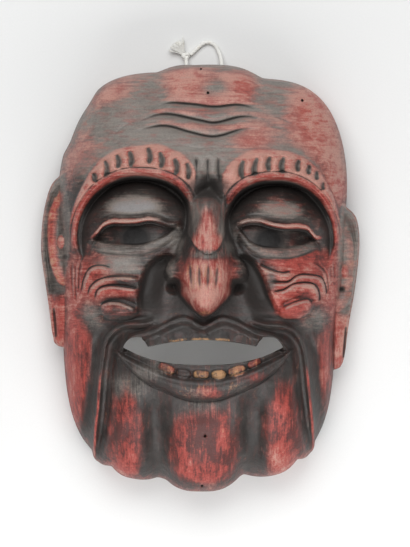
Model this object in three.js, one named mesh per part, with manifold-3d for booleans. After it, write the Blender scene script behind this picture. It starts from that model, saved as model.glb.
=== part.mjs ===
// A carved wooden theatre mask: a laughing old man with tufted brows, a drooping moustache and a lobed beard.
// It lies face up on its flat rim, with its hanging cord on the ground above the head.
// Millimetres. +Z rises out of the face, +Y points to the top of the head, +X to the viewer's right.
// The carving is a height above the rim plane, built up from a dome, humps, bands and grooves.

import * as THREE from 'three';
import { mergeVertices } from 'three/addons/utils/BufferGeometryUtils.js';
import loadManifold from 'manifold-3d';

// Where the middle of the finished outline lies in the carving's own plane.
const MIDDLE = new THREE.Vector2(-1.75, -0.5);

// Head: an oval dome with lumps on its outline.
const EDGE_Z = 16;
const DOME_Z = 70;
const HALF_TOP = 126;
const HALF_BOTTOM = 123.5;
const HALF_WIDTH = 90;
const JAW_LEFT = 88;
const JAW_RIGHT = 83;
const LUMPS = [
  { at: 88, half: 15, out: 7.5 },
  { at: 269.5, half: 12.5, out: 11 },
  { at: 251.5, half: 8.5, out: 5 },
  { at: 289, half: 8.5, out: 3.5 },
  { at: 108, half: 16, out: 3.2 },
  { at: 129, half: 10, out: -2.2 },
  { at: 148, half: 14, out: 2 },
  { at: 48, half: 24, out: 2.8 },
  { at: 240.8, half: 3.6, out: 3.2 },
  { at: 301, half: 3.6, out: 2.6 },
];

// Rim and inside.
const RIM_INSET = 2;
const RIM_INNER = 9.5;
const BOWL_Z = 60;

// Mouth: an open crescent with a plate of upper teeth let down into it.
const MOUTH_HALF = 49.3;
const MOUTH_FLARE = 3;
const MOUTH_MIDDLE = new THREE.Vector2(0, -45);

// Eyes. Each has the hollow under its brow (middle and half sizes), the edges of its lids over u and v in that
// hollow, the slots between its brow tufts (x, upper end, lower end), and the trench from nose wing to moustache.
const EYES = [
  { side: -1, x: -41.5, y: 23, a: 37.3, b: 40.4,
    lid: [[-0.7, 0.2], [-0.576, 0.205], [-0.39, 0.257], [-0.21, 0.285], [-0.03, 0.257], [0.24, 0.25], [0.4, 0.25],
      [0.55, 0.188], [0.67, 0.06], [0.75, 0.02]],
    brim: [[-0.7, 0.2], [-0.517, 0.089], [-0.303, -0.012], [-0.056, -0.067], [0.214, -0.067], [0.52, -0.04],
      [0.75, 0.02]],
    slots: [[-67.5, 64.5, 59.5], [-60.3, 72.5, 63.4], [-52.9, 75.9, 68.1], [-45, 77.7, 69.1], [-33.6, 80, 70.9],
      [-26.3, 77.1, 68.1], [-17.1, 73.1, 64.1], [-9.7, 70.3, 61.3]],
    trench: [[-13.5, 10], [-24, 10.3], [-31.5, 5], [-34.6, -2.5], [-36.4, -11], [-36.4, -19.5], [-40, -29]] },
  { side: 1, x: 47, y: 21.5, a: 35.2, b: 39.4,
    lid: [[-0.75, 0.25], [-0.557, 0.302], [-0.332, 0.302], [-0.17, 0.257], [0.085, 0.216], [0.378, 0.216],
      [0.511, 0.184], [0.636, 0.057], [0.68, 0.04]],
    brim: [[-0.75, 0.25], [-0.653, 0.157], [-0.525, 0.025], [-0.332, -0.06], [-0.074, -0.086], [0.185, -0.086],
      [0.44, -0.03], [0.636, 0.04], [0.68, 0.04]],
    slots: [[24.6, 72, 61.9], [33.1, 73.8, 61.3], [41, 74.4, 66.3], [49.6, 74.4, 64.6], [59.2, 72.5, 65.8],
      [66, 69.4, 64], [71.1, 66.3, 60.6], [75, 59.4, 54.4]],
    trench: [[16, 10.3], [26, 9.2], [31.6, 3.4], [35.8, -5], [38, -11.5], [42.8, -21], [49.5, -28]] },
];

// Upper edge of the brow in hollow half sizes, over degrees from the temple round to the nose.
const BROW_FOOT = 1.09;
const BROW_TOP = [[0, 1.1], [20, 1.13], [43, 1.205], [66, 1.35], [79, 1.41], [92, 1.43], [104, 1.46], [117, 1.42],
  [130, 1.4], [145, 1.36]];

// Cheeks: the lowest pouch (middle, half sizes, turn in degrees), the folds that lap over it, and the creases
// along the temple.
const CHEEKS = [
  { side: -1, pouch: [-51.5, -20.8, 12, 6.6, -4],
    folds: [
      [[-63.8, -18.1], [-61.2, -15.8], [-56.9, -14.7], [-51.2, -15], [-45.6, -16.9], [-40.6, -19.4]],
      [[-66.9, -14.4], [-66.2, -10], [-64.7, -7.5], [-61.9, -5.9], [-56.9, -5], [-50.6, -5.4], [-45, -6.2],
        [-39.4, -7.2]],
      [[-71.6, -12.5], [-70.2, -6.9], [-66.9, -3.1], [-62.8, -1.1], [-55.6, 0.5], [-45.6, 0.6], [-38.8, -0.6]],
      [[-75.3, -10], [-74.7, -3.8], [-72.5, 2.2], [-70, 5.6], [-66.2, 7.1], [-61.2, 7], [-56.2, 5.6]],
    ],
    creases: [
      [[-78.4, -17.5], [-79.2, -8.1], [-79.5, 1.2], [-79.1, 10]],
      [[-80.6, -15.6], [-81.4, -8.1], [-81.7, 3.1], [-81.2, 12.5]],
    ] },
  { side: 1, pouch: [57.5, -19.6, 11.5, 6.2, 18],
    folds: [
      [[48.1, -18.8], [52.8, -16.7], [57.5, -15], [62.2, -13.6], [65.6, -14], [67.8, -16.6]],
      [[41.9, -9.4], [49.7, -7.7], [55, -4.6], [60.6, -3.4], [66.9, -3.8], [70, -5.4], [71.9, -8.8], [72.3, -12.8],
        [71.6, -15.9]],
      [[39.4, -2.5], [51.2, -3.1], [57.5, 0.6], [62.2, 1.6], [68.4, 1.2], [73.1, 0], [75.4, -3.4], [76.6, -8.1],
        [76.2, -12.5]],
      [[34.4, 8.1], [41.9, 4.7], [48.8, 2.8], [54.4, 3.4]],
    ],
    creases: [
      [[79.1, 9.4], [79.6, 3.1], [79.7, -8.1]],
      [[81.2, 11.9], [81.6, 1.2], [81.2, -9.4]],
    ] },
];

// Nose.
const NOSE_X = 2;
const NOSE_CREST = [[-29, 46], [-25.5, 72], [-23, 90], [-19, 99], [-9, 102], [12, 94], [30, 86], [50, 76],
  [62, 66], [70, 50]];
const NOSE_HALF = [[-24, 4], [-20, 7], [-12, 11.5], [0, 14.5], [10, 15], [16, 14], [24, 12.5], [50, 11.5],
  [62, 12]];

// Lips and teeth, as curves over the distance from the middle line.
const LIP_BOW = [[0, -30.2], [4, -28.4], [11, -25.3], [20, -27.5], [27, -31], [37, -34.2], [44, -36.8], [54, -46]];
const LIP_FOOT = [[0, -76], [8, -75.5], [21, -71], [36, -64], [47, -55.5], [56, -46]];
const LIP_BRIM = [[0, -62.5], [12, -61.5], [28, -57], [37, -53], [48, -48], [56, -44.5]];
const UPPER_TEETH = [[-28.1, -40, 6.2, 4.4], [-15, -40, 5.9, 6.2], [-1.6, -40, 6.9, 6.9], [11.7, -40.6, 5.5, 8.1],
  [23.8, -41.9, 5.5, 6.9]];
const LOWER_TEETH = [[-22.5, -56.4, 5.7, 3.3, -24], [-12.1, -59.2, 4.9, 3, -10], [-1.2, -59.9, 5.2, 2.9, -2],
  [9.7, -59.8, 4.9, 3, 2], [20.9, -57.6, 5.9, 3.2, 16], [31.6, -53.1, 4.6, 2.9, 30]];

// Moustache: a ridge between two channels, from beside the nose down to the jaw.
const MOUSTACHE = [
  { side: -1, path: [[-27, -26], [-36, -28.7], [-47, -29.4], [-53.4, -32.1], [-58.1, -36.9], [-60.9, -43],
    [-62.3, -52.5], [-63.6, -62], [-65.3, -81.6], [-67, -95], [-68.5, -116]] },
  { side: 1, path: [[27, -26], [38, -29.2], [50, -30.5], [57, -34.5], [62, -43], [64.3, -56], [66, -72],
    [68, -89], [69.5, -109]] },
];

// Beard lobes: middle, half width, where each starts, how far it stands up and how slowly.
const BEARD = [[1, 25, -72, 6.5, 26], [-46, 14.5, -60, 4.5, 30], [49, 13.5, -58, 4.5, 30]];
const BEARD_VALLEYS = [[-29, 9], [30.5, 9]];

// Forehead wrinkles.
const WRINKLES = [
  [[-31, 104], [-21, 107.7], [-7, 107.3], [7, 106], [22, 106.7], [36, 103]],
  [[-46, 92], [-23, 100.8], [-2, 97.3], [6, 96.5], [23, 99.2], [43, 93.5]],
  [[-44, 88], [-23, 93.5], [-7, 89.5], [3, 87], [11, 87.6], [22, 90.3], [39, 88]],
];

// Ears: long plates laid against the head, with a rolled rim, an inner ridge round a hollow, and a slit lobe.
// rim and root are how far out the plate ends and starts, over the height on the face.
const EARS = [
  { side: -1,
    rim: [[-44.8, 84], [-43.6, 90], [-42, 92.5], [-38, 94], [-33, 95], [-27, 95.7], [-13, 97.7], [-0.6, 99.5],
      [8, 100.9], [17, 101.7], [23, 101.7], [35.6, 100.8], [47, 98.8], [54.4, 96.7], [59.4, 94.2], [62.5, 91.2],
      [65, 87.5], [66.5, 82]],
    root: [[-44, 87], [-20, 86.5], [0, 85.2], [15, 83.2], [30, 81.8], [45, 82.6], [60, 86]],
    helix: [[-97, -12], [-98.6, 3], [-100, 18], [-99.2, 34], [-97.2, 46.5], [-93.2, 56], [-87.8, 60], [-84.2, 55],
      [-83, 45], [-82.4, 34]],
    inner: [[-91.8, 49.5], [-94.4, 42], [-95.6, 34], [-95.5, 22], [-94, 10], [-90.8, 1], [-86.8, -4]],
    lobe: [-91, -26, 6, 19], slit: [[-93.6, -20], [-92.2, -37]], tragus: [-88.8, 21.9], hole: [-86, 12.5] },
  { side: 1,
    rim: [[-59, 79], [-57.8, 84], [-55, 87], [-52, 88.2], [-45.6, 89.4], [-37, 90.4], [-27, 92], [-14.4, 94.4],
      [-8, 95.4], [8, 97.4], [19.4, 98.3], [28, 98.1], [34, 97.2], [38.5, 95.6], [41.9, 92.6], [44.5, 88.5], [46, 83]],
    root: [[-58, 82.5], [-36, 83], [-14, 83.6], [0, 84], [16, 84], [30, 83.6], [42, 86]],
    helix: [[91.8, -16], [94, -2], [95.9, 12], [96.4, 24], [94.8, 34], [91.2, 39.6], [87.6, 40], [85.6, 34],
      [84.8, 26]],
    inner: [[87.8, 31], [91, 26], [92.6, 18], [92.9, 6], [91.8, -4], [89.4, -14], [86.4, -20]],
    lobe: [87, -38, 6, 20], slit: [[89.6, -32], [88.2, -50]], tragus: [89, 3.5], hole: [86.8, -7.5] },
];
const EAR_Z = 17.5;
const EAR_THICK = 6.5;

// Cord: a cotton string through two holes in the top wall, knotted beside the left one.
const CORD_R = 1.25;
const HOLE_R = 1.9;
const HOLE_Z = 6;
const HOLES_X = [-10.3, 11.9];
const KNOT = new THREE.Vector3(-10.9, 139.4, 2.75);
const KNOT_R = 2.6;
const CORD_ROUTE = [[-10.5, 136.5, 4.1], [-10.3, 133, 5.8], [-10.3, 124, 6], [-10.3, 115.5, 5.9], [-8.4, 109.6, 5],
  [-3.6, 105.9, 3.6], [0.8, 105, 3], [5.2, 105.9, 3.6], [10, 109.6, 5], [11.9, 115.5, 5.9], [11.9, 124, 6],
  [11.8, 133, 5.8], [11.2, 138.4, 3.8], [8.6, 143.8, 2], [3.2, 146.6, 1.6], [-2.4, 144.2, 1.6], [-8, 140.8, 2.4]];
const TAIL_ROUTE = [[-12.2, 141, 2.2], [-14.1, 143, 1.7], [-16.2, 145.6, 1.5], [-18, 148, 1.9]];

// Fineness of the sampled carving and of the faceted solid made from it.
const COLUMNS_TOP = 260;
const COLUMNS_LOW = 130;
const ROWS_FRONT = 126;
const ROWS_BOWL = 16;
const TRIANGLES = 8800;

const clamp = (v, lo, hi) => Math.min(Math.max(v, lo), hi);
const mix = (a, b, t) => a + (b - a) * t;
const radians = THREE.MathUtils.degToRad;

// 0 below a, 1 above b, eased between.
function smooth(a, b, t) {
  const k = clamp((t - a) / (b - a), 0, 1);
  return k * k * (3 - 2 * k);
}

// A bell over -1..1.
function hump(d) {
  const k = Math.max(1 - d * d, 0);
  return k * k;
}

// The larger of two heights, with the inner corner rounded by k.
function smoothMax(a, b, k) {
  const h = clamp(0.5 + (0.5 * (b - a)) / k, 0, 1);
  return mix(a, b, h) + k * h * (1 - h);
}

// A smooth function through [x, y] knots, level at both ends.
function glide(knots) {
  const slopes = knots.map((p, i) => {
    if (i === 0 || i === knots.length - 1) return 0;
    const before = p[0] - knots[i - 1][0];
    const after = knots[i + 1][0] - p[0];
    const rise = (knots[i + 1][1] - p[1]) * before * before + (p[1] - knots[i - 1][1]) * after * after;
    return rise / (before * after * (before + after));
  });
  return (x) => {
    const v = clamp(x, knots[0][0], knots[knots.length - 1][0]);
    let i = 0;
    while (i < knots.length - 2 && v >= knots[i + 1][0]) i += 1;
    const h = knots[i + 1][0] - knots[i][0];
    const t = (v - knots[i][0]) / h;
    const ends = knots[i][1] * (1 + 2 * t) * (1 - t) ** 2 + knots[i + 1][1] * t * t * (3 - 2 * t);
    return ends + h * (slopes[i] * t * (1 - t) ** 2 - slopes[i + 1] * t * t * (1 - t));
  };
}

// A curve in the carving plane; nearest() gives the signed distance (left of its run is positive) and the place
// from 0 to 1 along it.
class Path {
  constructor(points, pieces = 48) {
    const p = points.map(([x, y]) => new THREE.Vector2(x, y));
    const first = p[0].clone().multiplyScalar(2).sub(p[1]);
    const last = p[p.length - 1].clone().multiplyScalar(2).sub(p[p.length - 2]);
    const q = [first, ...p, last];
    this.points = [];
    for (let k = 0; k < pieces; k += 1) {
      const t = (k / (pieces - 1)) * (p.length - 1);
      const i = Math.min(Math.floor(t), p.length - 2);
      const f = t - i;
      this.points.push(['x', 'y'].map((c) => 0.5 * (2 * q[i + 1][c]
        + (q[i + 2][c] - q[i][c]) * f
        + (2 * q[i][c] - 5 * q[i + 1][c] + 4 * q[i + 2][c] - q[i + 3][c]) * f * f
        + (3 * q[i + 1][c] - q[i][c] - 3 * q[i + 2][c] + q[i + 3][c]) * f * f * f)));
    }
    this.box = new THREE.Box2().setFromPoints(this.points.map(([x, y]) => new THREE.Vector2(x, y)));
    this.run = [0];
    for (let k = 1; k < pieces; k += 1) {
      const [ax, ay] = this.points[k - 1];
      const [bx, by] = this.points[k];
      this.run.push(this.run[k - 1] + Math.hypot(bx - ax, by - ay));
    }
  }

  far(x, y, reach) {
    const { min, max } = this.box;
    return x < min.x - reach || x > max.x + reach || y < min.y - reach || y > max.y + reach;
  }

  nearest(x, y) {
    let best = Infinity;
    let side = 0;
    let place = 0;
    for (let k = 1; k < this.points.length; k += 1) {
      const [ax, ay] = this.points[k - 1];
      const dx = this.points[k][0] - ax;
      const dy = this.points[k][1] - ay;
      const t = clamp(((x - ax) * dx + (y - ay) * dy) / (dx * dx + dy * dy), 0, 1);
      const ex = x - ax - t * dx;
      const ey = y - ay - t * dy;
      const d = ex * ex + ey * ey;
      if (d < best) {
        best = d;
        side = dx * ey - dy * ex;
        place = mix(this.run[k - 1], this.run[k], t);
      }
    }
    return { d: Math.sqrt(best) * (side < 0 ? -1 : 1), t: place / this.run[this.run.length - 1] };
  }
}

// 1 along a stroke, easing to 0 over the given share of each end.
function ends(t, start, end) {
  const a = start > 0 ? smooth(0, start, t) : 1;
  const b = end > 0 ? smooth(0, end, 1 - t) : 1;
  return a * b;
}

// A groove along a path; a lip can stand up along its left side.
function groove(points, width, depth, { lip = 0, start = 0.25, end = 0.25 } = {}) {
  const path = new Path(points);
  const reach = width * 5.4;
  return (x, y) => {
    if (path.far(x, y, reach)) return 0;
    const { d, t } = path.nearest(x, y);
    const on = ends(t, start, end);
    const w = width * (0.45 + 0.55 * on);
    return (lip * hump((d - 1.7 * w) / (2.2 * w)) - depth * hump(d / w)) * on;
  };
}

// Radius of the plain oval of the head in a direction.
function oval(phi) {
  const c = Math.cos(phi);
  const s = Math.sin(phi);
  const jaw = c < 0 ? JAW_LEFT : JAW_RIGHT;
  const w = mix(jaw, HALF_WIDTH, smooth(-0.55, 0.35, s));
  const h = s > 0 ? HALF_TOP : HALF_BOTTOM;
  return (Math.abs(c / w) ** 4 + Math.abs(s / h) ** 4) ** -0.25;
}

// What the lumps of skull and beard add to the oval.
function lumps(phi) {
  let out = 0;
  for (const lump of LUMPS) {
    const d = phi - radians(lump.at);
    const off = THREE.MathUtils.radToDeg(Math.atan2(Math.sin(d), Math.cos(d))) / lump.half;
    out += lump.out * Math.max(1 - Math.abs(off) ** 3, 0) ** 1.5;
  }
  return out;
}

const outline = (phi) => oval(phi) + lumps(phi);

// How far out an ear reaches at a height on the face; 0 above and below it.
const earRims = EARS.map(({ side, rim }) => ({ side, edge: glide(rim), low: rim[0][0], high: rim[rim.length - 1][0] }));

function earEdge(side, y) {
  const { edge, low, high } = earRims[side < 0 ? 0 : 1];
  return y <= low || y >= high ? 0 : edge(y);
}

// Upper and lower edge of the mouth opening.
function mouthTop(x) {
  const plate = -38.75 - 3.6 * (x / 31) ** 2;
  const corner = -37.3 - 6 * clamp((Math.abs(x) - 38) / 11.5, 0, 1) ** 2;
  return mix(plate, corner, smooth(33, 36.5, Math.abs(x + 0.5)));
}

function mouthLow(x) {
  return -53.9 + 10.6 * clamp(Math.abs(x) / MOUTH_HALF, 0, 1) ** 2.3;
}

const wrinkles = WRINKLES.map((points, k) => groove(points, k ? 2.4 : 2.2, k ? 2.8 : 2.4,
  { lip: 1.6, start: 0.3, end: 0.3 }));
const frowns = [-5.5, -0.5, 4.5, 9.5].map((x) => groove([[x, 74], [0.95 * x, 67], [x, 59]], 1.5, 2.2));
const skullValleys = [[[-27, 126], [-35, 108], [-45, 90]], [[37, 124], [43, 106], [49, 88]]]
  .map((points) => groove(points, 12, 3.2, { start: 0, end: 0.5 }));

function forehead(x, y) {
  let out = 5 * hump(Math.hypot((x - 3) / 62, (y - 66) / 48));
  for (const cut of [...wrinkles, ...frowns, ...skullValleys]) out += cut(x, y);
  return out;
}

const browTop = glide(BROW_TOP);
const lids = EYES.map((frame) => ({ frame, lid: glide(frame.lid), brim: glide(frame.brim),
  slots: frame.slots.map(([x, high, low]) => groove(
    [[x, high + 1.6], [x - 1.1 * frame.side, (high + low) / 2], [x, low - 1.8]], 1.9, 4.8, { start: 0.14, end: 0.14 })),
}));

// Brow, hollow, lids and eyeball of one side; u runs from nose to temple and v up.
function eye(x, y, { frame, lid, brim, slots }) {
  const u = (frame.side * (x - frame.x)) / frame.a;
  const v = (y - frame.y) / frame.b;
  const off = Math.abs(u);
  const power = u < 0 ? 2.6 : 2;
  const e = (off ** power + Math.abs(v) ** power) ** (1 / power);
  const angle = THREE.MathUtils.radToDeg(Math.atan2(v, u));

  const on = smooth(-14, 8, angle) * (1 - smooth(140, 150, angle));
  let out = on * 4.5 * smooth(0.97, 1.04, e) * (1 - smooth(1.2, 2, e));
  out += 2.6 * on * hump((e - 1.055) / 0.075);
  const top = browTop(angle);
  const half = (top - BROW_FOOT) / 2 + 0.02;
  const band = clamp(1 - (Math.abs(e - (BROW_FOOT + top) / 2) / half) ** 2.4, 0, 1) ** 0.6;
  out += 5.6 * band * on * smooth(10, 45, angle);
  for (const slot of slots) out += slot(x, y) * smooth(1.05, 1.12, e);

  const sink = (1 - smooth(0.9, 1, e)) * smooth(-0.55, 0.1, v);
  out -= (9 + 11 * smooth(0.15, 0.75, v)) * sink;

  const above = v - lid(u);
  const corner = smooth(0.62, 0.9, off);
  const over = smooth(-0.03 - 0.4 * corner, 0.015 + 0.3 * corner, above);
  const dome = Math.sqrt(Math.max(1 - (u / 0.96) ** 2 - ((v - 0.06) / 0.84) ** 2, 0));
  out += 15.5 * dome * over;
  out -= hump((above - 0.155 - 0.03 * u) / 0.03) * (1 - smooth(0.4, 0.68, off));
  out += 1.5 * hump((above - 0.05) / 0.075) * (1 - smooth(0.72, 0.85, off));

  const gap = brim(u) - v;
  const open = (1 - over) * smooth(-0.035, 0.02, -gap) * smooth(0, 0.08, lid(u) - brim(u));
  const ball = Math.max(1 - ((u + 0.02) / 0.8) ** 2 - ((v - 0.08) / 0.45) ** 2, 0);
  out += open * (8 * Math.sqrt(ball) - 5.5);
  out += 4.4 * smooth(-0.015, 0.03, gap) * (1 - smooth(0.06, 0.34, gap)) * (1 - smooth(0.66, 0.86, off));
  out -= 1.3 * hump((gap - 0.16) / 0.05) * (1 - smooth(0.45, 0.8, off));
  return out;
}

// A fold that laps over the one below: a thin cut, with a crest on its right that dies away.
function fold(points) {
  const path = new Path(points);
  return (x, y) => {
    if (path.far(x, y, 9)) return 0;
    const { d, t } = path.nearest(x, y);
    const cut = 1.9 * hump(d / 1.15) + 0.7 * hump((d - 1.6) / 2.6);
    const crest = 1.5 * smooth(0.4, 1.5, -d) * (1 - smooth(1.7, 6, -d));
    return (crest - cut) * ends(t, 0.16, 0.14);
  };
}

const cheekCuts = CHEEKS.flatMap(({ folds, creases }) => [...folds.map(fold),
  ...creases.map((points) => groove(points, 1.1, 1.2))]);

// Distance from the middle of a turned oval, 1 on its edge.
function turned(x, y, px, py, a, b, turn) {
  const [c, s] = [Math.cos(radians(turn)), Math.sin(radians(turn))];
  return Math.hypot(((x - px) * c + (y - py) * s) / a, ((y - py) * c - (x - px) * s) / b);
}

function cheeks(x, y) {
  let out = 0;
  for (const { side, pouch } of CHEEKS) {
    out += 7.5 * hump(Math.hypot((x - side * 52) / 34, (y + 10) / 36));
    out += 4.2 * Math.max(1 - turned(x, y, ...pouch) ** 2, 0) ** 0.7;
  }
  for (const cut of cheekCuts) out += cut(x, y);
  return out;
}

const noseCrest = glide(NOSE_CREST);
const noseHalf = glide(NOSE_HALF);
const trenches = EYES.map(({ side, trench }) => ({ side, path: new Path(trench, 90) }));
const noseGrooves = [0, 1, 2, 3].map((k) => {
  const x = -7.5 + 5.3 * k;
  return groove([[1.05 * x, 9.5 - (k % 2)], [x, 2], [0.94 * x, -6.5]], 1.6, 2.2);
});

// The nose is joined to the height already built up.
function withNose(x, y, below) {
  let z = below;
  for (const { side, path } of trenches) {
    if (!path.far(x, y, 14)) {
      const { d, t } = path.nearest(x, y);
      const inner = -side * d;
      z -= 11 * hump(inner / (inner > 0 ? 13 : 5)) * ends(t, 0.22, 0.4);
    }
    z -= 4 * hump(Math.hypot((x - 1 - side * 24) / 18, (y + 10) / 20));
  }
  if (y > -29 && y < 70) {
    const d = Math.abs(x - NOSE_X + 0.02 * (20 - y)) / noseHalf(y);
    z = smoothMax(z, noseCrest(y) - 15 * d ** 2.4, 4);
  }
  if (y > 14.4) {
    const shield = Math.abs(x - NOSE_X - 0.3) / (11.3 * clamp((y - 14.4) / 13, 1e-6, 1) ** 0.6);
    z += 3.4 * (1 - smooth(0.84, 1, shield)) * (1 - smooth(44, 56, y));
  }
  z -= 5 * hump(Math.hypot((x - NOSE_X - 0.5) / 15, (y - 55.5) / 9));
  for (const side of [-1, 1]) {
    const wx = x - NOSE_X - side * 16.5;
    const wing = Math.hypot(wx / 9.5, (y - 5 + 0.35 * side * wx) / 9);
    if (wing < 1) z = smoothMax(z, 58 + 23 * (1 - wing * wing) ** 0.55, 9);
    z -= 8 * hump(Math.hypot((x - NOSE_X - side * 18) / 7, (y + 5.5) / 5));
  }
  for (const cut of noseGrooves) z += cut(x, y);
  return z;
}

const lipBow = glide(LIP_BOW);
const lipFoot = glide(LIP_FOOT);
const lipBrim = glide(LIP_BRIM);

function lips(x, y) {
  const ax = Math.abs(x - 0.3);
  const bow = lipBow(ax);
  let out = 3.2 * hump((y - bow) / 2.8) * (1 - smooth(50, 56, ax));
  if (y > -46) out -= 3.6 * smooth(0, 5, bow - y) * (1 - smooth(46, 54, ax));
  out -= 2 * hump(Math.hypot(x / 7, (y + 25) / 8));
  for (const [px, py, a, b] of UPPER_TEETH) {
    const q = Math.hypot((x - px) / a, (y - py) / b);
    if (y < -29) out += 1.3 * Math.max(1 - q * q, 0) ** 0.5 - 1.2 * hump((q - 1.02) / 0.16);
  }

  const foot = lipFoot(ax);
  const brim = lipBrim(ax);
  const half = Math.max((brim - foot) / 2, 1.2);
  const roll = clamp(1 - (Math.abs(y - (foot + brim) / 2) / half) ** 2.4, 0, 1) ** 0.7;
  out += 6.5 * roll * (1 - smooth(51, 57, ax));
  out -= 3 * hump((y - foot + 1.2) / 3.2) * (1 - smooth(44, 56, ax));
  for (const [px, py, a, b, turn] of LOWER_TEETH) {
    const [c, t] = [Math.cos(radians(turn)), Math.sin(radians(turn))];
    const q = (Math.abs(((x - px) * c + (y - py) * t) / a) ** 2.8
      + Math.abs(((y - py) * c - (x - px) * t) / b) ** 2.8) ** (1 / 2.8);
    out += 2.6 * clamp(1 - q ** 2.5, 0, 1) ** 0.6 - hump((q - 1.1) / 0.2);
  }
  return out;
}

const moustachePaths = MOUSTACHE.map(({ side, path }) => ({ side, path: new Path(path, 60) }));
const moustacheWidth = glide([[0, 3.5], [0.2, 4.5], [0.45, 5.5], [0.85, 5], [1, 3.5]]);

function moustache(x, y) {
  let out = 0;
  for (const { side, path } of moustachePaths) {
    if (path.far(x, y, 12)) continue;
    const { d, t } = path.nearest(x, y);
    const inner = -side * d;
    const w = moustacheWidth(t);
    const cut = 3.6 * hump((inner - 0.95 * w) / w) + 3 * hump((inner + 0.9 * w) / w);
    const rise = 2.2 * hump(d / 2.6) + 0.8 * hump((inner - w) / 1.3) * smooth(0.3, 0.5, t);
    out += (rise - cut) * smooth(0, 0.1, t);
  }
  return out;
}

function beard(x, y) {
  let out = 0;
  for (const [middle, half, start, rise, run] of BEARD) {
    const d = Math.min(Math.abs(x - middle) / half, 1);
    out += rise * (1 - d ** 2.6) * smooth(0, run, start - y - 6 * d * d);
  }
  for (const [middle, half] of BEARD_VALLEYS) out -= 4.2 * hump((x - middle) / half) * smooth(62, 84, -y);
  return out;
}

const earPaths = EARS.map((ear) => ({ ear, root: glide(ear.root), helix: new Path(ear.helix, 40),
  inner: new Path(ear.inner, 40), slit: groove(ear.slit, 1.3, 3, { start: 0.15, end: 0.15 }) }));

function ridge(path, x, y, width, rise) {
  if (path.far(x, y, width)) return 0;
  const { d, t } = path.nearest(x, y);
  return rise * clamp(1 - (d / width) ** 2, 0, 1) ** 0.8 * ends(t, 0.06, 0.12);
}

// Front of an ear, or far below where there is none.
function earFront({ ear, root, helix, inner, slit }, x, y) {
  const out = ear.side * x;
  const inn = earEdge(ear.side, y) - out;
  if (earEdge(ear.side, y) === 0 || out < 74 || inn < -1) return -50;
  let z = EAR_Z + 3 * smooth(0, 2.2, inn) + 1.08 * clamp(inn - 3, 0, 17) - 12 * smooth(0, 3, root(y) - out);
  const { d, t } = inner.nearest(x, y);
  const within = -ear.side * d;
  z -= 2.4 * smooth(1.2, 3, within) * (1 - smooth(10, 13, within)) * ends(t, 0.15, 0.15);
  const pad = ([px, py], a, b) => Math.max(1 - ((x - px) / a) ** 2 - ((y - py) / b) ** 2, 0) ** 0.7;
  z += Math.max(ridge(helix, x, y, 2.2, 3.6), ridge(inner, x, y, 2, 3.2), 4 * pad(ear.lobe, ear.lobe[2], ear.lobe[3]),
    5 * pad(ear.tragus, 2.8, 4.8));
  z -= 3 * hump(Math.hypot(x - ear.hole[0], y - ear.hole[1]) / 2.8);
  return z + slit(x, y);
}

// Height of the carved front above the rim plane.
function front(x, y) {
  const r = Math.hypot(x, y);
  const phi = Math.atan2(y, x);
  const plain = oval(phi);
  const rho = clamp(r / (plain + lumps(phi) * smooth(0.62, 1, r / plain)), 0, 1);
  const fade = 1 - smooth(0.88, 1, rho);
  let z = EDGE_Z + (DOME_Z - EDGE_Z) * Math.sqrt(Math.max(1 - rho ** 2.7, 0));
  let carving = 9 * hump(Math.hypot(x / 70, (y + 48) / 60)) + forehead(x, y) + cheeks(x, y);
  for (const parts of lids) carving += eye(x, y, parts);
  z = withNose(x, y, z + carving * fade);
  z += lips(x, y) * fade + moustache(x, y) + beard(x, y);
  for (const paths of earPaths) z = smoothMax(z, earFront(paths, x, y), 1.5);
  return z;
}

// Height of the scooped inside: a smooth bowl that keeps clear of the deep carving.
function bowl(x, y) {
  const rho = clamp(Math.hypot(x, y) / (oval(Math.atan2(y, x)) - RIM_INNER), 0, 1);
  let z = BOWL_Z * Math.sqrt(Math.max(1 - rho ** 2.7, 0));
  z += 5 * hump(Math.hypot(x / 62, (y + 46) / 44));
  z += 14 * hump(Math.hypot((x - NOSE_X) / 20, (y + 4) / 34));
  for (const { side, x: ex, y: ey, a, b } of EYES) {
    z -= 15 * (1 - smooth(0.6, 1.3, Math.hypot((x - ex + 5 * side) / a, (y - ey - 10) / b)));
    z -= 13 * hump(Math.hypot((x - NOSE_X - side * 34) / 26, (y + 4) / 28));
  }
  return Math.max(z, 0);
}

// Farthest point of a region along a ray from the middle of the mouth.
function reach(angle, inside) {
  const at = (r) => [MOUTH_MIDDLE.x + r * Math.cos(angle), MOUTH_MIDDLE.y + r * Math.sin(angle)];
  let far = 200;
  while (!inside(...at(far))) far -= 0.5;
  let near = far;
  far += 0.5;
  for (let k = 0; k < 30; k += 1) {
    const half = (near + far) / 2;
    if (inside(...at(half))) near = half;
    else far = half;
  }
  return at(near);
}

const inHead = (x, y) => Math.hypot(x, y) < outline(Math.atan2(y, x));
const inEars = (x, y) => EARS.some(({ side }) => side * x > 60 && side * x < earEdge(side, y));

// Columns of the closed sheet run round the mouth and round the outline together.
function columns() {
  const out = [];
  for (const [count, turn] of [[COLUMNS_TOP, 1], [COLUMNS_LOW, -1]]) {
    for (let k = 0; k < count; k += 1) {
      const w = turn * (1 - (2 * k) / count);
      const t = Math.abs(w);
      const x = Math.sign(w) * MOUTH_HALF * (t + 0.25 * t * (1 - t));
      const angle = radians(turn * 90 - turn * Math.sign(w) * 90 * t ** 1.5);
      const arch = -39 - 5.5 * (x / MOUTH_HALF) ** 2;
      out.push({
        mouth: [x, turn > 0 ? mouthTop(x) : mouthLow(x)],
        back: [1.06 * x, turn > 0 ? arch + MOUTH_FLARE : mouthLow(x) - MOUTH_FLARE * (1 - t * t)],
        edge: reach(angle, (px, py) => inHead(px, py) || inEars(px, py)),
        head: reach(angle, inHead),
      });
    }
  }
  return out;
}

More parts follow.
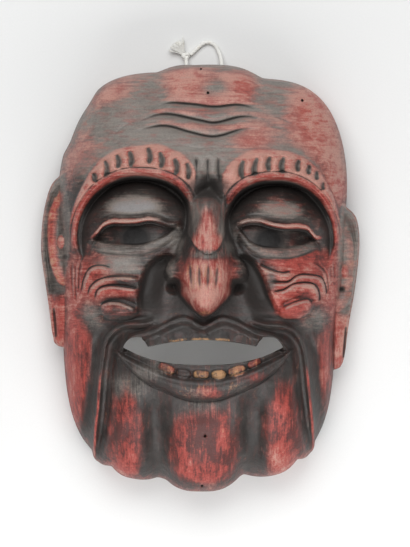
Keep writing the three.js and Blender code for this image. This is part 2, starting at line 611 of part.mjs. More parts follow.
// One closed sheet: front from mouth to outline, round the edge, across the rim, up the bowl and out of the mouth.
function maskSheet() {
  const positions = [];
  const grid = columns();
  let rows = 0;
  for (const { mouth, back, edge, head } of grid) {
    const start = positions.length;
    for (let j = 0; j <= ROWS_FRONT; j += 1) {
      const t = 1 - (1 - j / ROWS_FRONT) ** 1.25;
      const x = mix(mouth[0], edge[0], t);
      const y = mix(mouth[1], edge[1], t);
      positions.push([x, y, front(x, y)]);
    }
    const phi = Math.atan2(head[1], head[0]);
    const rim = outline(phi);
    const polar = (r, z) => [r * Math.cos(phi), r * Math.sin(phi), z];
    const eared = Math.hypot(edge[0] - head[0], edge[1] - head[1]) > 0.5;
    const edgeZ = positions[positions.length - 1][2];
    positions.push([edge[0] * 0.998, edge[1] * 0.998, eared ? edgeZ - EAR_THICK : Math.min(11, edgeZ - 2)]);
    positions.push(polar(rim - 0.6, eared ? 10 : 7));
    positions.push(polar(rim - RIM_INSET, 0));
    const inner = polar(oval(phi) - RIM_INNER, 0);
    for (let j = 0; j <= ROWS_BOWL; j += 1) {
      const t = 1 - Math.cos(((j / ROWS_BOWL) * Math.PI) / 2);
      const x = mix(inner[0], back[0], t);
      const y = mix(inner[1], back[1], t);
      positions.push([x, y, j === 0 ? 0 : bowl(x, y)]);
    }
    rows = positions.length - start;
  }
  const triangles = [];
  for (let i = 0; i < grid.length; i += 1) {
    const next = (i + 1) % grid.length;
    for (let j = 0; j < rows; j += 1) {
      const up = (j + 1) % rows;
      const [a, b, c, d] = [i * rows + j, i * rows + up, next * rows + up, next * rows + j];
      const straight = positions[a].reduce((sum, v, k) => sum + (v - positions[c][k]) ** 2, 0);
      const crossed = positions[b].reduce((sum, v, k) => sum + (v - positions[d][k]) ** 2, 0);
      if (straight < crossed) triangles.push([a, b, c], [a, c, d]);
      else triangles.push([a, b, d], [b, c, d]);
    }
  }
  return { positions, triangles };
}

// Fewer facets: the edge whose loss changes the surface least is drawn into one of its ends, again and again.
// Corners on the rim plane stay on it.
function simplify({ positions, triangles }, target) {
  const faces = triangles.map((t) => [...t]);
  const alive = faces.map(() => true);
  const around = positions.map(() => new Set());
  const quadric = positions.map(() => new Float64Array(10));
  const stamp = new Uint32Array(positions.length);
  const dead = new Uint8Array(positions.length);
  const point = positions.map((p) => new THREE.Vector3(...p));
  const a = new THREE.Vector3();
  const b = new THREE.Vector3();

  const normal = (p, q, r) => a.subVectors(q, p).cross(b.subVectors(r, p)).clone();
  faces.forEach((face, f) => {
    const n = normal(...face.map((i) => point[i]));
    const area = n.length();
    n.normalize();
    const plane = [n.x, n.y, n.z, -n.dot(point[face[0]])];
    for (const i of face) {
      around[i].add(f);
      let k = 0;
      for (let r = 0; r < 4; r += 1) {
        for (let c = r; c < 4; c += 1) {
          quadric[i][k] += area * plane[r] * plane[c];
          k += 1;
        }
      }
    }
  });

  const error = (i, j, p) => {
    const q = (k) => quadric[i][k] + quadric[j][k];
    return p.x * (q(0) * p.x + 2 * (q(1) * p.y + q(2) * p.z + q(3)))
      + p.y * (q(4) * p.y + 2 * (q(5) * p.z + q(6))) + p.z * (q(7) * p.z + 2 * q(8)) + q(9);
  };
  const onRim = (i) => point[i].z < 1e-6;
  const neighbours = (i) => {
    const out = new Set();
    for (const f of around[i]) for (const j of faces[f]) if (j !== i) out.add(j);
    return out;
  };

  const heap = [];
  const push = (item) => {
    let i = heap.push(item) - 1;
    while (i > 0) {
      const up = (i - 1) >> 1;
      if (heap[up].cost <= heap[i].cost) break;
      [heap[up], heap[i]] = [heap[i], heap[up]];
      i = up;
    }
  };
  const pop = () => {
    const top = heap[0];
    const last = heap.pop();
    if (heap.length) {
      heap[0] = last;
      let i = 0;
      for (;;) {
        let least = i;
        for (const c of [2 * i + 1, 2 * i + 2]) {
          if (c < heap.length && heap[c].cost < heap[least].cost) least = c;
        }
        if (least === i) break;
        [heap[least], heap[i]] = [heap[i], heap[least]];
        i = least;
      }
    }
    return top;
  };
  const offer = (i, j) => {
    if (onRim(i) && !onRim(j)) return;
    const cost = error(i, j, point[j]) + 1e-5 * point[i].distanceToSquared(point[j]);
    push({ cost, i, j, stamp: stamp[i] + stamp[j] });
  };
  for (let i = 0; i < point.length; i += 1) for (const j of neighbours(i)) offer(i, j);

  const allowed = (i, j) => {
    const near = neighbours(i);
    let shared = 0;
    for (const k of neighbours(j)) if (near.has(k)) shared += 1;
    if (shared !== 2) return false;
    for (const f of around[i]) {
      if (faces[f].includes(j)) continue;
      const before = normal(...faces[f].map((k) => point[k]));
      const after = normal(...faces[f].map((k) => point[k === i ? j : k]));
      if (after.length() < 0.05 || before.dot(after) < 0.35 * before.length() * after.length()) return false;
    }
    return true;
  };

  let count = faces.length;
  while (count > target && heap.length) {
    const { i, j, stamp: made } = pop();
    if (dead[i] || dead[j] || made !== stamp[i] + stamp[j] || !allowed(i, j)) continue;
    for (const f of around[i]) {
      if (faces[f].includes(j)) {
        alive[f] = false;
        count -= 1;
        for (const k of faces[f]) if (k !== i) around[k].delete(f);
      } else {
        faces[f][faces[f].indexOf(i)] = j;
        around[j].add(f);
      }
    }
    dead[i] = 1;
    for (let k = 0; k < 10; k += 1) quadric[j][k] += quadric[i][k];
    stamp[j] += 1;
    for (const k of neighbours(j)) {
      offer(j, k);
      offer(k, j);
    }
  }
  const kept = new Map();
  const corners = [];
  const index = [];
  faces.forEach((face, f) => {
    if (!alive[f]) return;
    for (const i of face) {
      if (!kept.has(i)) {
        kept.set(i, kept.size);
        corners.push(...point[i].toArray());
      }
      index.push(kept.get(i));
    }
  });
  const geometry = new THREE.BufferGeometry();
  geometry.setAttribute('position', new THREE.Float32BufferAttribute(corners, 3));
  geometry.setIndex(index);
  return geometry;
}

const wasm = await loadManifold();
wasm.setup();

// A closed geometry as a solid for cutting and joining, and back again.
function solid(geometry) {
  const bare = geometry.clone();
  bare.deleteAttribute('normal');
  bare.deleteAttribute('uv');
  const merged = mergeVertices(bare, 1e-3);
  return new wasm.Manifold(new wasm.Mesh({
    numProp: 3,
    vertProperties: new Float32Array(merged.getAttribute('position').array),
    triVerts: new Uint32Array(merged.getIndex().array),
  }));
}

function shape(body) {
  const mesh = body.getMesh();
  const geometry = new THREE.BufferGeometry();
  geometry.setAttribute('position', new THREE.Float32BufferAttribute(mesh.vertProperties, 3));
  geometry.setIndex([...mesh.triVerts]);
  return geometry;
}

// A round string along a route.
function string(route, radius, steps, sides = 8) {
  const ring = new THREE.Shape();
  for (let k = 0; k < sides; k += 1) {
    const t = (k / sides) * 2 * Math.PI;
    const p = [radius * Math.cos(t), radius * Math.sin(t)];
    if (k === 0) ring.moveTo(...p);
    else ring.lineTo(...p);
  }
  const path = new THREE.CatmullRomCurve3(route.map((p) => new THREE.Vector3(...p)), false, 'centripetal');
  return new THREE.ExtrudeGeometry(ring, { steps, bevelEnabled: false, extrudePath: path });
}

function maskGeometry() {
  let body = solid(simplify(maskSheet(), TRIANGLES));
  for (const x of HOLES_X) {
    const drill = new THREE.CylinderGeometry(HOLE_R, HOLE_R, 30, 10);
    drill.translate(x, 126, HOLE_Z);
    body = body.subtract(solid(drill));
  }
  return shape(body);
}

// The knot with the short tail that fans out at its cut end.
function knotGeometry() {
  const ball = new THREE.SphereGeometry(KNOT_R, 12, 8);
  ball.translate(...KNOT.toArray());
  const tail = string(TAIL_ROUTE, CORD_R, 8);
  const [end, before] = [TAIL_ROUTE[3], TAIL_ROUTE[2]].map((p) => new THREE.Vector3(...p));
  const fan = new THREE.CylinderGeometry(2.6, CORD_R, 5, 8);
  const along = end.clone().sub(before).setZ(0).normalize();
  fan.applyQuaternion(new THREE.Quaternion().setFromUnitVectors(new THREE.Vector3(0, 1, 0), along));
  fan.scale(1, 1, 0.6);
  fan.translate(end.x + along.x, end.y + along.y, end.z);
  return shape(solid(ball).add(solid(tail)).add(solid(fan)));
}

function piece(name, geometry, color, roughness) {
  geometry.translate(-MIDDLE.x, -MIDDLE.y, 0);
  const mesh = new THREE.Mesh(geometry, new THREE.MeshStandardMaterial({ color, roughness, metalness: 0 }));
  mesh.name = name;
  return mesh;
}

const mask = new THREE.Group();
mask.add(piece('mask', maskGeometry(), 0x6a2c28, 0.45));
mask.add(piece('hanging_cord', string(CORD_ROUTE, CORD_R, 36), 0xe6e0cf, 0.9));
mask.add(piece('cord_knot', knotGeometry(), 0xe6e0cf, 0.9));

export default mask;
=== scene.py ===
"""Dresses the carved theatre mask: its painted wood, its cotton hanging cord, and a plain studio.

Sizes of the carving are in millimetres in the carver's plane, as in the part's source: +X to the
viewer's right, +Y to the top of the head, +Z out of the face, flat rim at zero. Blender objects are in
metres in the row frame.
"""

import math

import bpy
import numpy as np
from bpy.props import FloatProperty, FloatVectorProperty, IntProperty, PointerProperty
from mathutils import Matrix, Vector
from mathutils.geometry import delaunay_2d_cdt
from mathutils.kdtree import KDTree


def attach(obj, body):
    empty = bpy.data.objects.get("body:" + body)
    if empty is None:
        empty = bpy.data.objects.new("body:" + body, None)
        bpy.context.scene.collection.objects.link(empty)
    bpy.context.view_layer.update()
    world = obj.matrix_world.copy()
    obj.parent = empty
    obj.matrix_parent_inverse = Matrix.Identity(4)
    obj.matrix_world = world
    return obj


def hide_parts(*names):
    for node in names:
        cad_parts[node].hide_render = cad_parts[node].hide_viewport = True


bl_info = {
    "name": "Carved Theatre Mask",
    "version": (1, 0, 0),
    "blender": (4, 5, 0),
    "location": "3D View > Sidebar > Mask",
    "description": "Builds the painted wood of a carved theatre mask, its hanging cord and a plain studio",
    "category": "Object",
}

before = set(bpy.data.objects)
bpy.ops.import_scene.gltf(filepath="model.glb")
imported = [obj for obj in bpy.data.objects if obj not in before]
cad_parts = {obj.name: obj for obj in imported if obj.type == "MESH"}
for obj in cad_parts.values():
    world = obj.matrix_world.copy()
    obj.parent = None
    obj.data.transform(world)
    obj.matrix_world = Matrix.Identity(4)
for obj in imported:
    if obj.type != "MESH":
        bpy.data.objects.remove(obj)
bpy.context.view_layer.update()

# Where the middle of the finished outline lies in the carver's plane.
MIDDLE = np.array([-1.75, -0.5, 0.0])

# Carving: the curves and sizes of the solid, with finer relief.

# Half sizes of the head's oval: left and right at the jaw, at the temples, up to the crown, down to the
# chin. Heights of its edge, the dome of the face and the bowl inside.
JAW_LEFT, JAW_RIGHT = 88, 83
TEMPLE = 90
CROWN, CHIN = 126, 123.5
EDGE_Z, DOME_Z, BOWL_Z = 16, 70, 60
# Lumps of skull and beard on that oval: direction and half width in degrees, rise.
LUMPS = [(88, 15, 7.5), (269.5, 12.5, 11), (251.5, 8.5, 5), (289, 8.5, 3.5), (108, 16, 3.2),
         (129, 10, -2.2), (148, 14, 2), (48, 24, 2.8), (240.8, 3.6, 3.2), (301, 3.6, 2.6)]
# Fullness of the dome, inset and inner width of the rim, the open mouth, the ear plates, the nose's middle.
DOME_POWER = 2.7
RIM_INSET, RIM_INNER = 2, 9.5
MOUTH_HALF, MOUTH_FLARE, MOUTH_Y = 49.3, 3, -45
EAR_Z, EAR_THICK = 17.5, 6.5
NOSE_X = 2
# Distance of points out of a line's reach, and height where a form has no body.
NOWHERE = 1e9
ABSENT = -50.0

# Eyes: the hollow's middle and half sizes; edges of the upper and lower lids in shares of those; brow
# slots as place, top and foot; the trench beside the nose; then what the paint needs: the iris's place, red
# on the lid's roll, how far its wear fades to the temple, red in the hollow, and the highlight painted on
# the lid as half sizes, strength and rose in it.
EYES = {
    -1: dict(
        hollow=(-41.5, 23, 37.3, 40.4),
        lid=[(-0.7, 0.2), (-0.576, 0.205), (-0.39, 0.257), (-0.21, 0.285), (-0.03, 0.257), (0.24, 0.25),
             (0.4, 0.25), (0.55, 0.188), (0.67, 0.06), (0.75, 0.02)],
        brim=[(-0.7, 0.2), (-0.517, 0.089), (-0.303, -0.012), (-0.056, -0.067), (0.214, -0.067),
              (0.52, -0.04), (0.75, 0.02)],
        slots=[(-67.5, 64.5, 59.5), (-60.3, 72.5, 63.4), (-52.9, 75.9, 68.1), (-45, 77.7, 69.1),
               (-33.6, 80, 70.9), (-26.3, 77.1, 68.1), (-17.1, 73.1, 64.1), (-9.7, 70.3, 61.3)],
        trench=[(-13.5, 10), (-24, 10.3), (-31.5, 5), (-34.6, -2.5), (-36.4, -11), (-36.4, -19.5),
                (-40, -29)],
        iris=0.01, roll_red=0.4, roll_fade=0.25, hollow_red=0.02, shine=(0.7, 0.26, 1, 0),
    ),
    1: dict(
        hollow=(47, 21.5, 35.2, 39.4),
        lid=[(-0.75, 0.25), (-0.557, 0.302), (-0.332, 0.302), (-0.17, 0.257), (0.085, 0.216),
             (0.378, 0.216), (0.511, 0.184), (0.636, 0.057), (0.68, 0.04)],
        brim=[(-0.75, 0.25), (-0.653, 0.157), (-0.525, 0.025), (-0.332, -0.06), (-0.074, -0.086),
              (0.185, -0.086), (0.44, -0.03), (0.636, 0.04), (0.68, 0.04)],
        slots=[(24.6, 72, 61.9), (33.1, 73.8, 61.3), (41, 74.4, 66.3), (49.6, 74.4, 64.6),
               (59.2, 72.5, 65.8), (66, 69.4, 64), (71.1, 66.3, 60.6), (75, 59.4, 54.4)],
        trench=[(16, 10.3), (26, 9.2), (31.6, 3.4), (35.8, -5), (38, -11.5), (42.8, -21), (49.5, -28)],
        iris=-0.18, roll_red=0.75, roll_fade=0.55, hollow_red=0.1, shine=(0.5, 0.2, 0.8, 0.9),
    ),
}
# Brows, in shares of the hollow: foot of the tufts, the cut under them, their top over the angle from the
# temple, and how much lower the paint ends towards the nose. Creases of the lid and of the bag below.
BROW_FOOT, BROW_CUT = 1.09, 1.1
BROW_TOP = [(0, 1.1), (20, 1.13), (43, 1.205), (66, 1.35), (79, 1.41), (92, 1.43), (104, 1.46), (117, 1.42),
            (130, 1.4), (145, 1.36)]
TUFT_END = [(117, 0), (130, 0.05), (134, 0.08), (139, 0.16), (146, 0.3)]
LID_CREASE, BAG_CREASE = 0.125, 0.16
# Cheeks: the lowest pouch (middle, half sizes, turn), the folds over it, and creases along the temple.
POUCHES = {-1: (-51.5, -20.8, 12, 6.6, -4), 1: (57.5, -19.6, 11.5, 6.2, 18)}
FOLDS = {
    -1: [
        [(-63.8, -18.1), (-61.2, -15.8), (-56.9, -14.7), (-51.2, -15), (-45.6, -16.9), (-40.6, -19.4)],
        [(-66.9, -14.4), (-66.2, -10), (-64.7, -7.5), (-61.9, -5.9), (-56.9, -5), (-50.6, -5.4),
         (-45, -6.2), (-39.4, -7.2)],
        [(-71.6, -12.5), (-70.2, -6.9), (-66.9, -3.1), (-62.8, -1.1), (-55.6, 0.5), (-45.6, 0.6),
         (-38.8, -0.6)],
        [(-75.3, -10), (-74.7, -3.8), (-72.5, 2.2), (-70, 5.6), (-66.2, 7.1), (-61.2, 7), (-56.2, 5.6)],
    ],
    1: [
        [(48.1, -18.8), (52.8, -16.7), (57.5, -15), (62.2, -13.6), (65.6, -14), (67.8, -16.6)],
        [(41.9, -9.4), (49.7, -7.7), (55, -4.6), (60.6, -3.4), (66.9, -3.8), (70, -5.4), (71.9, -8.8),
         (72.3, -12.8), (71.6, -15.9)],
        [(39.4, -2.5), (51.2, -3.1), (57.5, 0.6), (62.2, 1.6), (68.4, 1.2), (73.1, 0), (75.4, -3.4),
         (76.6, -8.1), (76.2, -12.5)],
        [(34.4, 8.1), (41.9, 4.7), (48.8, 2.8), (54.4, 3.4)],
    ],
}
CREASES = {
    -1: [[(-78.4, -17.5), (-79.2, -8.1), (-79.5, 1.2), (-79.1, 10)],
         [(-80.6, -15.6), (-81.4, -8.1), (-81.7, 3.1), (-81.2, 12.5)],
         [(-77, -13), (-77.4, -4), (-76.6, 5), (-75.2, 11.5), (-72.6, 16)]],
    1: [[(79.1, 9.4), (79.6, 3.1), (79.7, -8.1)], [(81.2, 11.9), (81.6, 1.2), (81.2, -9.4)],
        [(64.3, 9.6), (71, 7.4), (76.2, 2.6), (78, -5), (77.8, -13)]],
}
NOSE_CREST = [(-29, 46), (-25.5, 72), (-23, 90), (-19, 99), (-9, 102), (12, 94), (30, 86), (50, 76),
              (62, 66), (70, 50)]
NOSE_HALF = [(-24, 4), (-20, 7), (-12, 11.5), (0, 14.5), (10, 15), (16, 14), (24, 12.5), (50, 11.5),
             (62, 12)]
NOSE_GROOVES = [[(x * 1.08, top), (x, 1), (x * 0.9, -8.5)]
                for x, top in ((-7.5, 10), (-2.2, 8.5), (3.1, 10), (8.4, 8.5))]
LIP_BOW = [(0, -30.2), (4, -28.4), (11, -25.3), (20, -27.5), (27, -31), (37, -34.2), (44, -36.8), (54, -46)]
LIP_FOOT = [(0, -76), (8, -75.5), (21, -71), (36, -64), (47, -55.5), (56, -46)]
LIP_BRIM = [(0, -62.5), (12, -61.5), (28, -57), (37, -53), (48, -48), (56, -44.5)]
UPPER_TEETH = [(-28.1, -40, 6.2, 4.4), (-15, -40, 5.9, 6.2), (-1.6, -40, 6.9, 6.9),
               (11.7, -40.6, 5.5, 8.1), (23.8, -41.9, 5.5, 6.9)]
LOWER_TEETH = [(-22.5, -56.4, 5.7, 3.3, -24), (-12.1, -59.2, 4.9, 3, -10),
               (-1.2, -59.9, 5.2, 2.9, -2), (9.7, -59.8, 4.9, 3, 2), (20.9, -57.6, 5.9, 3.2, 16),
               (31.6, -53.1, 4.6, 2.9, 30)]
# Gilding and red stain left on each lower tooth.
TOOTH_PAINT = [(0.34, 0.6), (0.08, 0.1), (0.4, 0.25), (0.66, 0.2), (0.46, 0.4), (0.24, 0.6)]
MOUSTACHE = {
    -1: [(-27, -26), (-36, -28.7), (-47, -29.4), (-53.4, -32.1), (-58.1, -36.9), (-60.9, -43),
         (-62.3, -52.5), (-63.6, -62), (-65.3, -81.6), (-67, -95), (-68.5, -116)],
    1: [(27, -26), (38, -29.2), (50, -30.5), (57, -34.5), (62, -43), (64.3, -56), (66, -72), (68, -89),
        (69.5, -109)],
}
BEARD = [(1, 25, -72, 6.5, 26), (-46, 14.5, -60, 4.5, 30), (49, 13.5, -58, 4.5, 30)]
BEARD_VALLEYS = [(-29, 9), (30.5, 9)]
WRINKLES = [
    [(-38, 102.5), (-30, 105.2), (-21, 107.9), (-7, 107.3), (7, 105.6), (22, 106.9), (36, 103.6),
     (45, 101)],
    [(-50, 90.5), (-38, 97), (-23, 101), (-2, 97), (8, 95.6), (23, 99.2), (34, 98.6), (48, 95)],
    [(-50, 86.5), (-36, 91.5), (-23, 93.5), (-9, 89.8), (3, 87), (11, 87.4), (26, 91.6), (42, 91)],
]
FINE_WRINKLES = [
    [(-60, 84), (-49, 93), (-39, 100)], [(-62, 79), (-50, 84), (-42, 86)], [(40, 100), (49, 98), (58, 93)],
    [(38, 93.5), (48, 92), (56, 88)], [(-24, 84), (-4, 79.5), (16, 80.5)],
]
FROWNS = [[(x, 75), (x * 0.95, 67), (x, 58)] for x in (-4.2, 3, 9.8)]
SKULL_VALLEYS = [[(-27, 126), (-35, 108), (-45, 90)], [(37, 124), (43, 106), (49, 88)]]
# Ears: how far out the plate ends and starts over the height, its rolled rim, the ridge round its hollow,
# its lobe and small knob as ovals, the slit of the lobe, the hole, and how strong the red and grey are.
EARS = {
    -1: dict(
        rim=[(-44.8, 84), (-43.6, 90), (-42, 92.5), (-38, 94), (-33, 95), (-27, 95.7), (-13, 97.7),
             (-0.6, 99.5), (8, 100.9), (17, 101.7), (23, 101.7), (35.6, 100.8), (47, 98.8), (54.4, 96.7),
             (59.4, 94.2), (62.5, 91.2), (65, 87.5), (66.5, 82)],
        root=[(-44, 87), (-20, 86.5), (0, 85.2), (15, 83.2), (30, 81.8), (45, 82.6), (60, 86)],
        helix=[(-97, -12), (-98.6, 3), (-100, 18), (-99.2, 34), (-97.2, 46.5), (-93.2, 56),
               (-87.8, 60), (-84.2, 55), (-83, 45), (-82.4, 34)],
        inner=[(-92.2, 49.4), (-95.7, 41), (-96.8, 32), (-96.6, 21), (-95.6, 12), (-93.4, 3.5),
               (-90.1, -3), (-87.3, -4.6)],
        lobe=(-91, -26, 6, 19), knob=(-88.8, 21.9, 2.8, 4.8), slit=[(-93.6, -20), (-92.2, -37)],
        hole=(-86, 12.5), flush=1, rose=0, ash=0),
    1: dict(
        rim=[(-59, 79), (-57.8, 84), (-55, 87), (-52, 88.2), (-45.6, 89.4), (-37, 90.4), (-27, 92),
             (-14.4, 94.4), (-8, 95.4), (8, 97.4), (19.4, 98.3), (28, 98.1), (34, 97.2), (38.5, 95.6),
             (41.9, 92.6), (44.5, 88.5), (46, 83)],
        root=[(-58, 82.5), (-36, 83), (-14, 83.6), (0, 84), (16, 84), (30, 83.6), (42, 86)],
        helix=[(91.8, -16), (94, -2), (95.9, 12), (96.4, 24), (94.8, 34), (91.2, 39.6), (87.6, 40),
               (85.6, 34), (84.8, 26)],
        inner=[(91.4, 28.5), (93.8, 21), (94.1, 11), (93.7, 2), (92.9, -8), (90.9, -15),
               (88, -19.6), (86.2, -21)],
        lobe=(87, -38, 6, 20), knob=(89, 3.5, 2.8, 4.8), slit=[(89.6, -32), (88.2, -50)],
        hole=(86.8, -7.5), flush=0.45, rose=0.4, ash=0.25),
}

# Beetle holes in the wood: place and radius.
BEETLE_HOLES = [(3.1, 114.4, 0.85), (61.9, 110, 0.85), (-1.3, 130, 0.6), (1.3, -98.1, 0.75),
                (-0.6, -130, 0.7)]

# Cord: the loop from the knot through both holes and back, the short tail, and the drilled holes.
CORD_ROUTE = [(-10.6, 137, 4), (-10.4, 132.5, 5.6), (-10.3, 124, 6), (-10.3, 115.5, 5.9), (-8.4, 109.6, 5),
              (-3.6, 105.9, 3.6), (0.8, 105, 3), (5.2, 105.9, 3.6), (10, 109.6, 5), (11.9, 115.5, 5.9),
              (11.9, 124, 6), (11.8, 133, 5.8), (11.3, 138.2, 3.8), (10, 142.2, 2.4), (8.3, 145.5, 1.7),
              (6, 147.6, 1.6), (3, 148.4, 1.6), (-0.1, 147.4, 1.6), (-3.7, 144.5, 1.7), (-8, 140.4, 2.4)]
TAIL_ROUTE = [(-10.9, 139.4, 2.75), (-12.2, 141, 2.2), (-14.1, 143, 1.7), (-16.2, 145.6, 1.5),
              (-18, 148, 1.9)]
KNOT = (-10.9, 139.4, 2.75)
HOLES_X, HOLE_R, HOLE_Z = (-10.3, 11.9), 1.9, 6
HOLE_FROM, HOLE_TO = 111, 141


def row(points):
    """Points of the carver's plane, in millimetres, as metres in the row frame."""
    return (np.asarray(points, float) - MIDDLE) / 1000.0


def smooth(a, b, t):
    """0 up to a and 1 from b on, easing between them."""
    k = np.clip((t - a) / (b - a), 0.0, 1.0)
    return k * k * (3 - 2 * k)


def fall(a, b, t):
    """1 up to a and 0 from b on, easing between them."""
    return 1 - smooth(a, b, t)


def hump(d):
    """1 at the middle, falling smoothly to 0 at a distance of 1."""
    return np.clip(1 - d * d, 0, None) ** 2


def mound(d, power, edge):
    """1 at the middle and 0 from a distance of 1; power fills the middle, a small edge steepens the rim."""
    return np.clip(1 - np.abs(d) ** power, 0, 1) ** edge


def mix(a, b, t):
    return a + (b - a) * t


def higher(a, b, k):
    """The larger of two heights, with the inner corner between them rounded by k."""
    h = np.clip(0.5 + 0.5 * (b - a) / k, 0, 1)
    return mix(a, b, h) + k * h * (1 - h)


def glide(v, knots):
    """Smooth curve through the knots, level beyond its ends."""
    xs, ys = np.array(knots, float).T
    slope = np.gradient(ys, xs)
    slope[0] = slope[-1] = 0
    v = np.clip(v, xs[0], xs[-1])
    i = np.clip(np.searchsorted(xs, v, side="right") - 1, 0, len(xs) - 2)
    h = xs[i + 1] - xs[i]
    t = (v - xs[i]) / h
    return (ys[i] * (1 + 2 * t) * (1 - t) ** 2 + ys[i + 1] * t * t * (3 - 2 * t)
            + h * (slope[i] * t * (1 - t) ** 2 - slope[i + 1] * t * t * (1 - t)))


def curve(points, count=48):
    """Points along a smooth curve through the given ones."""
    p = np.array(points, float)
    p = np.vstack([2 * p[0] - p[1], p, 2 * p[-1] - p[-2]])
    spans = len(p) - 3
    t = np.linspace(0, spans, count)
    i = np.minimum(t.astype(int), spans - 1)
    f = (t - i)[:, None]
    a, b, c, d = p[i], p[i + 1], p[i + 2], p[i + 3]
    return 0.5 * (2 * b + (c - a) * f + (2 * a - 5 * b + 4 * c - d) * f**2 + (3 * b - a - 3 * c + d) * f**3)


def along(x, y, line):
    """Distance from a line, positive on the left of its direction, and the place from 0 to 1 along it."""
    best = np.full(x.shape, NOWHERE)
    side = np.zeros(x.shape)
    place = np.zeros(x.shape)
    steps = np.diff(line, axis=0)
    length = np.hypot(steps[:, 0], steps[:, 1])
    run = 0.0
    for (ax, ay), (dx, dy), span in zip(line[:-1], steps, length):
        t = np.clip(((x - ax) * dx + (y - ay) * dy) / (span * span), 0, 1)
        ex = x - ax - t * dx
        ey = y - ay - t * dy
        d = ex * ex + ey * ey
        near = d < best
        best = np.where(near, d, best)
        side = np.where(near, dx * ey - dy * ex, side)
        place = np.where(near, (run + t * span) / length.sum(), place)
        run += span
    return np.sqrt(best) * np.where(side < 0, -1.0, 1.0), place


def near_line(x, y, points, reach, count=48):
    """Distance and place along a curve, for the points within reach of its box; others are nowhere."""
    line = curve(points, count)
    lo, hi = line.min(0) - reach, line.max(0) + reach
    close = (x > lo[0]) & (x < hi[0]) & (y > lo[1]) & (y < hi[1])
    d = np.full(x.shape, NOWHERE)
    t = np.zeros(x.shape)
    if close.any():
        d[close], t[close] = along(x[close], y[close], line)
    return d, t


def ends(t, start, end):
    """1 along a stroke, falling to 0 at its ends."""
    out = np.ones_like(t)
    if start > 0:
        out = out * smooth(0, start, t)
    if end > 0:
        out = out * smooth(0, end, 1 - t)
    return out


def groove(x, y, points, width, depth, start=0.25, end=0.25):
    """A carved groove along a curve, narrower and shallower at its ends."""
    d, t = near_line(x, y, points, width)
    full = ends(t, start, end)
    return -depth * hump(d / (width * (0.45 + 0.55 * full))) * full


def in_oval(x, y, px, py, a, b, turn=0.0):
    """Place in a turned oval, in shares of its half sizes."""
    c, s = math.cos(math.radians(turn)), math.sin(math.radians(turn))
    u, v = x - px, y - py
    return (u * c + v * s) / a, (v * c - u * s) / b


def far(x, y, *shape):
    """Distance from the middle of an oval, 1 on its edge."""
    return np.hypot(*in_oval(x, y, *shape))


def oval(phi):
    """Radius of the plain oval of the head in a direction."""
    c, s = np.cos(phi), np.sin(phi)
    low = np.where(c < 0, JAW_LEFT, JAW_RIGHT)
    width = low + (TEMPLE - low) * smooth(-0.55, 0.35, s)
    return (np.abs(c / width) ** 4 + np.abs(s / np.where(s > 0, CROWN, CHIN)) ** 4) ** -0.25


def lumps(phi):
    """What the lumps of skull and beard add to the oval."""
    out = 0.0
    for at, half, rise in LUMPS:
        turn = phi - math.radians(at)
        out = out + rise * mound(np.degrees(np.arctan2(np.sin(turn), np.cos(turn))) / half, 3, 1.5)
    return out


def outline(phi):
    return oval(phi) + lumps(phi)


def bowl_share(x, y):
    """0 in the middle of the scooped inside, 1 where it meets the rim."""
    return np.hypot(x, y) / (oval(np.arctan2(y, x)) - RIM_INNER)


def ear_edge(y, side):
    """How far out the ear reaches at a height; 0 above and below it."""
    rim = EARS[side]["rim"]
    return np.where((y > rim[0][0]) & (y < rim[-1][0]), glide(y, rim), 0)


def in_head(x, y):
    return np.hypot(x, y) < outline(np.arctan2(y, x))


def in_mask(x, y):
    return in_head(x, y) | np.where(x < 0, -x < ear_edge(y, -1), x < ear_edge(y, 1))


def mouth_top(x):
    """Upper edge of the open mouth: the plate of teeth, and the corners beside it."""
    plate = -38.75 - 3.6 * (x / 31.0) ** 2
    corner = -36.9 - 6.4 * np.clip((np.abs(x) - 40) / 9.3, 0, 1) ** 3
    return mix(plate, corner, smooth(33.0, 36.5, np.abs(x + 0.5)))


def mouth_low(x):
    return -53.9 + 10.6 * np.clip(np.abs(x) / MOUTH_HALF, 0, 1) ** 2.6


def in_mouth(x, y):
    return (np.abs(x) < MOUTH_HALF) & (y < mouth_top(x)) & (y > mouth_low(x))


def forehead(x, y):
    out = 5.0 * hump(far(x, y, 3, 66, 62, 48))
    for points in WRINKLES:
        d, t = near_line(x, y, points, 12)
        step = -2.4 * np.where(d > 0, hump(d / 0.9), hump(d / 5.5)) + 1.0 * hump((d - 4.0) / 4.5)
        out = out + step * ends(t, 0.34, 0.34)
    for points in FINE_WRINKLES:
        out = out + groove(x, y, points, 1.6, 0.7, 0.4, 0.5)
    for points in FROWNS:
        out = out + groove(x, y, points, 1.7, 1.2) + groove(x, y, points, 3.6, 1.2)
    for points in SKULL_VALLEYS:
        out = out + groove(x, y, points, 12.0, 3.2, 0.0, 0.5)
    return out


def eye_parts(x, y, side):
    """What the carving and the paint of an eye share.

    Place in shares of the hollow, u to the temple and v up; e, 1 on its edge; degrees from temple to nose;
    1 where the brow is; top of its tufts; and the edges of the upper and lower lids.
    """
    cx, cy, a, b = EYES[side]["hollow"]
    u = side * (x - cx) / a
    v = (y - cy) / b
    p = np.where(u < 0, 2.6, 2.0)
    e = (np.abs(u) ** p + np.abs(v) ** p) ** (1 / p)
    angle = np.degrees(np.arctan2(v, u))
    browed = smooth(-14, 8, angle) * fall(140, 150, angle)
    top = glide(angle, BROW_TOP)
    lid, brim = (glide(u, EYES[side][name]) for name in ("lid", "brim"))
    return u, v, e, angle, browed, top, lid, brim


def slot_line(px, high, low, side):
    """A brow slot's line, bowed to the nose."""
    tall = high - low
    more = 0.26 * tall
    return [(px + 0.6 * side, high + 0.2 * more), (px - 0.13 * side * tall, (high + low - more) / 2),
            (px + 0.1 * side, low - more)]


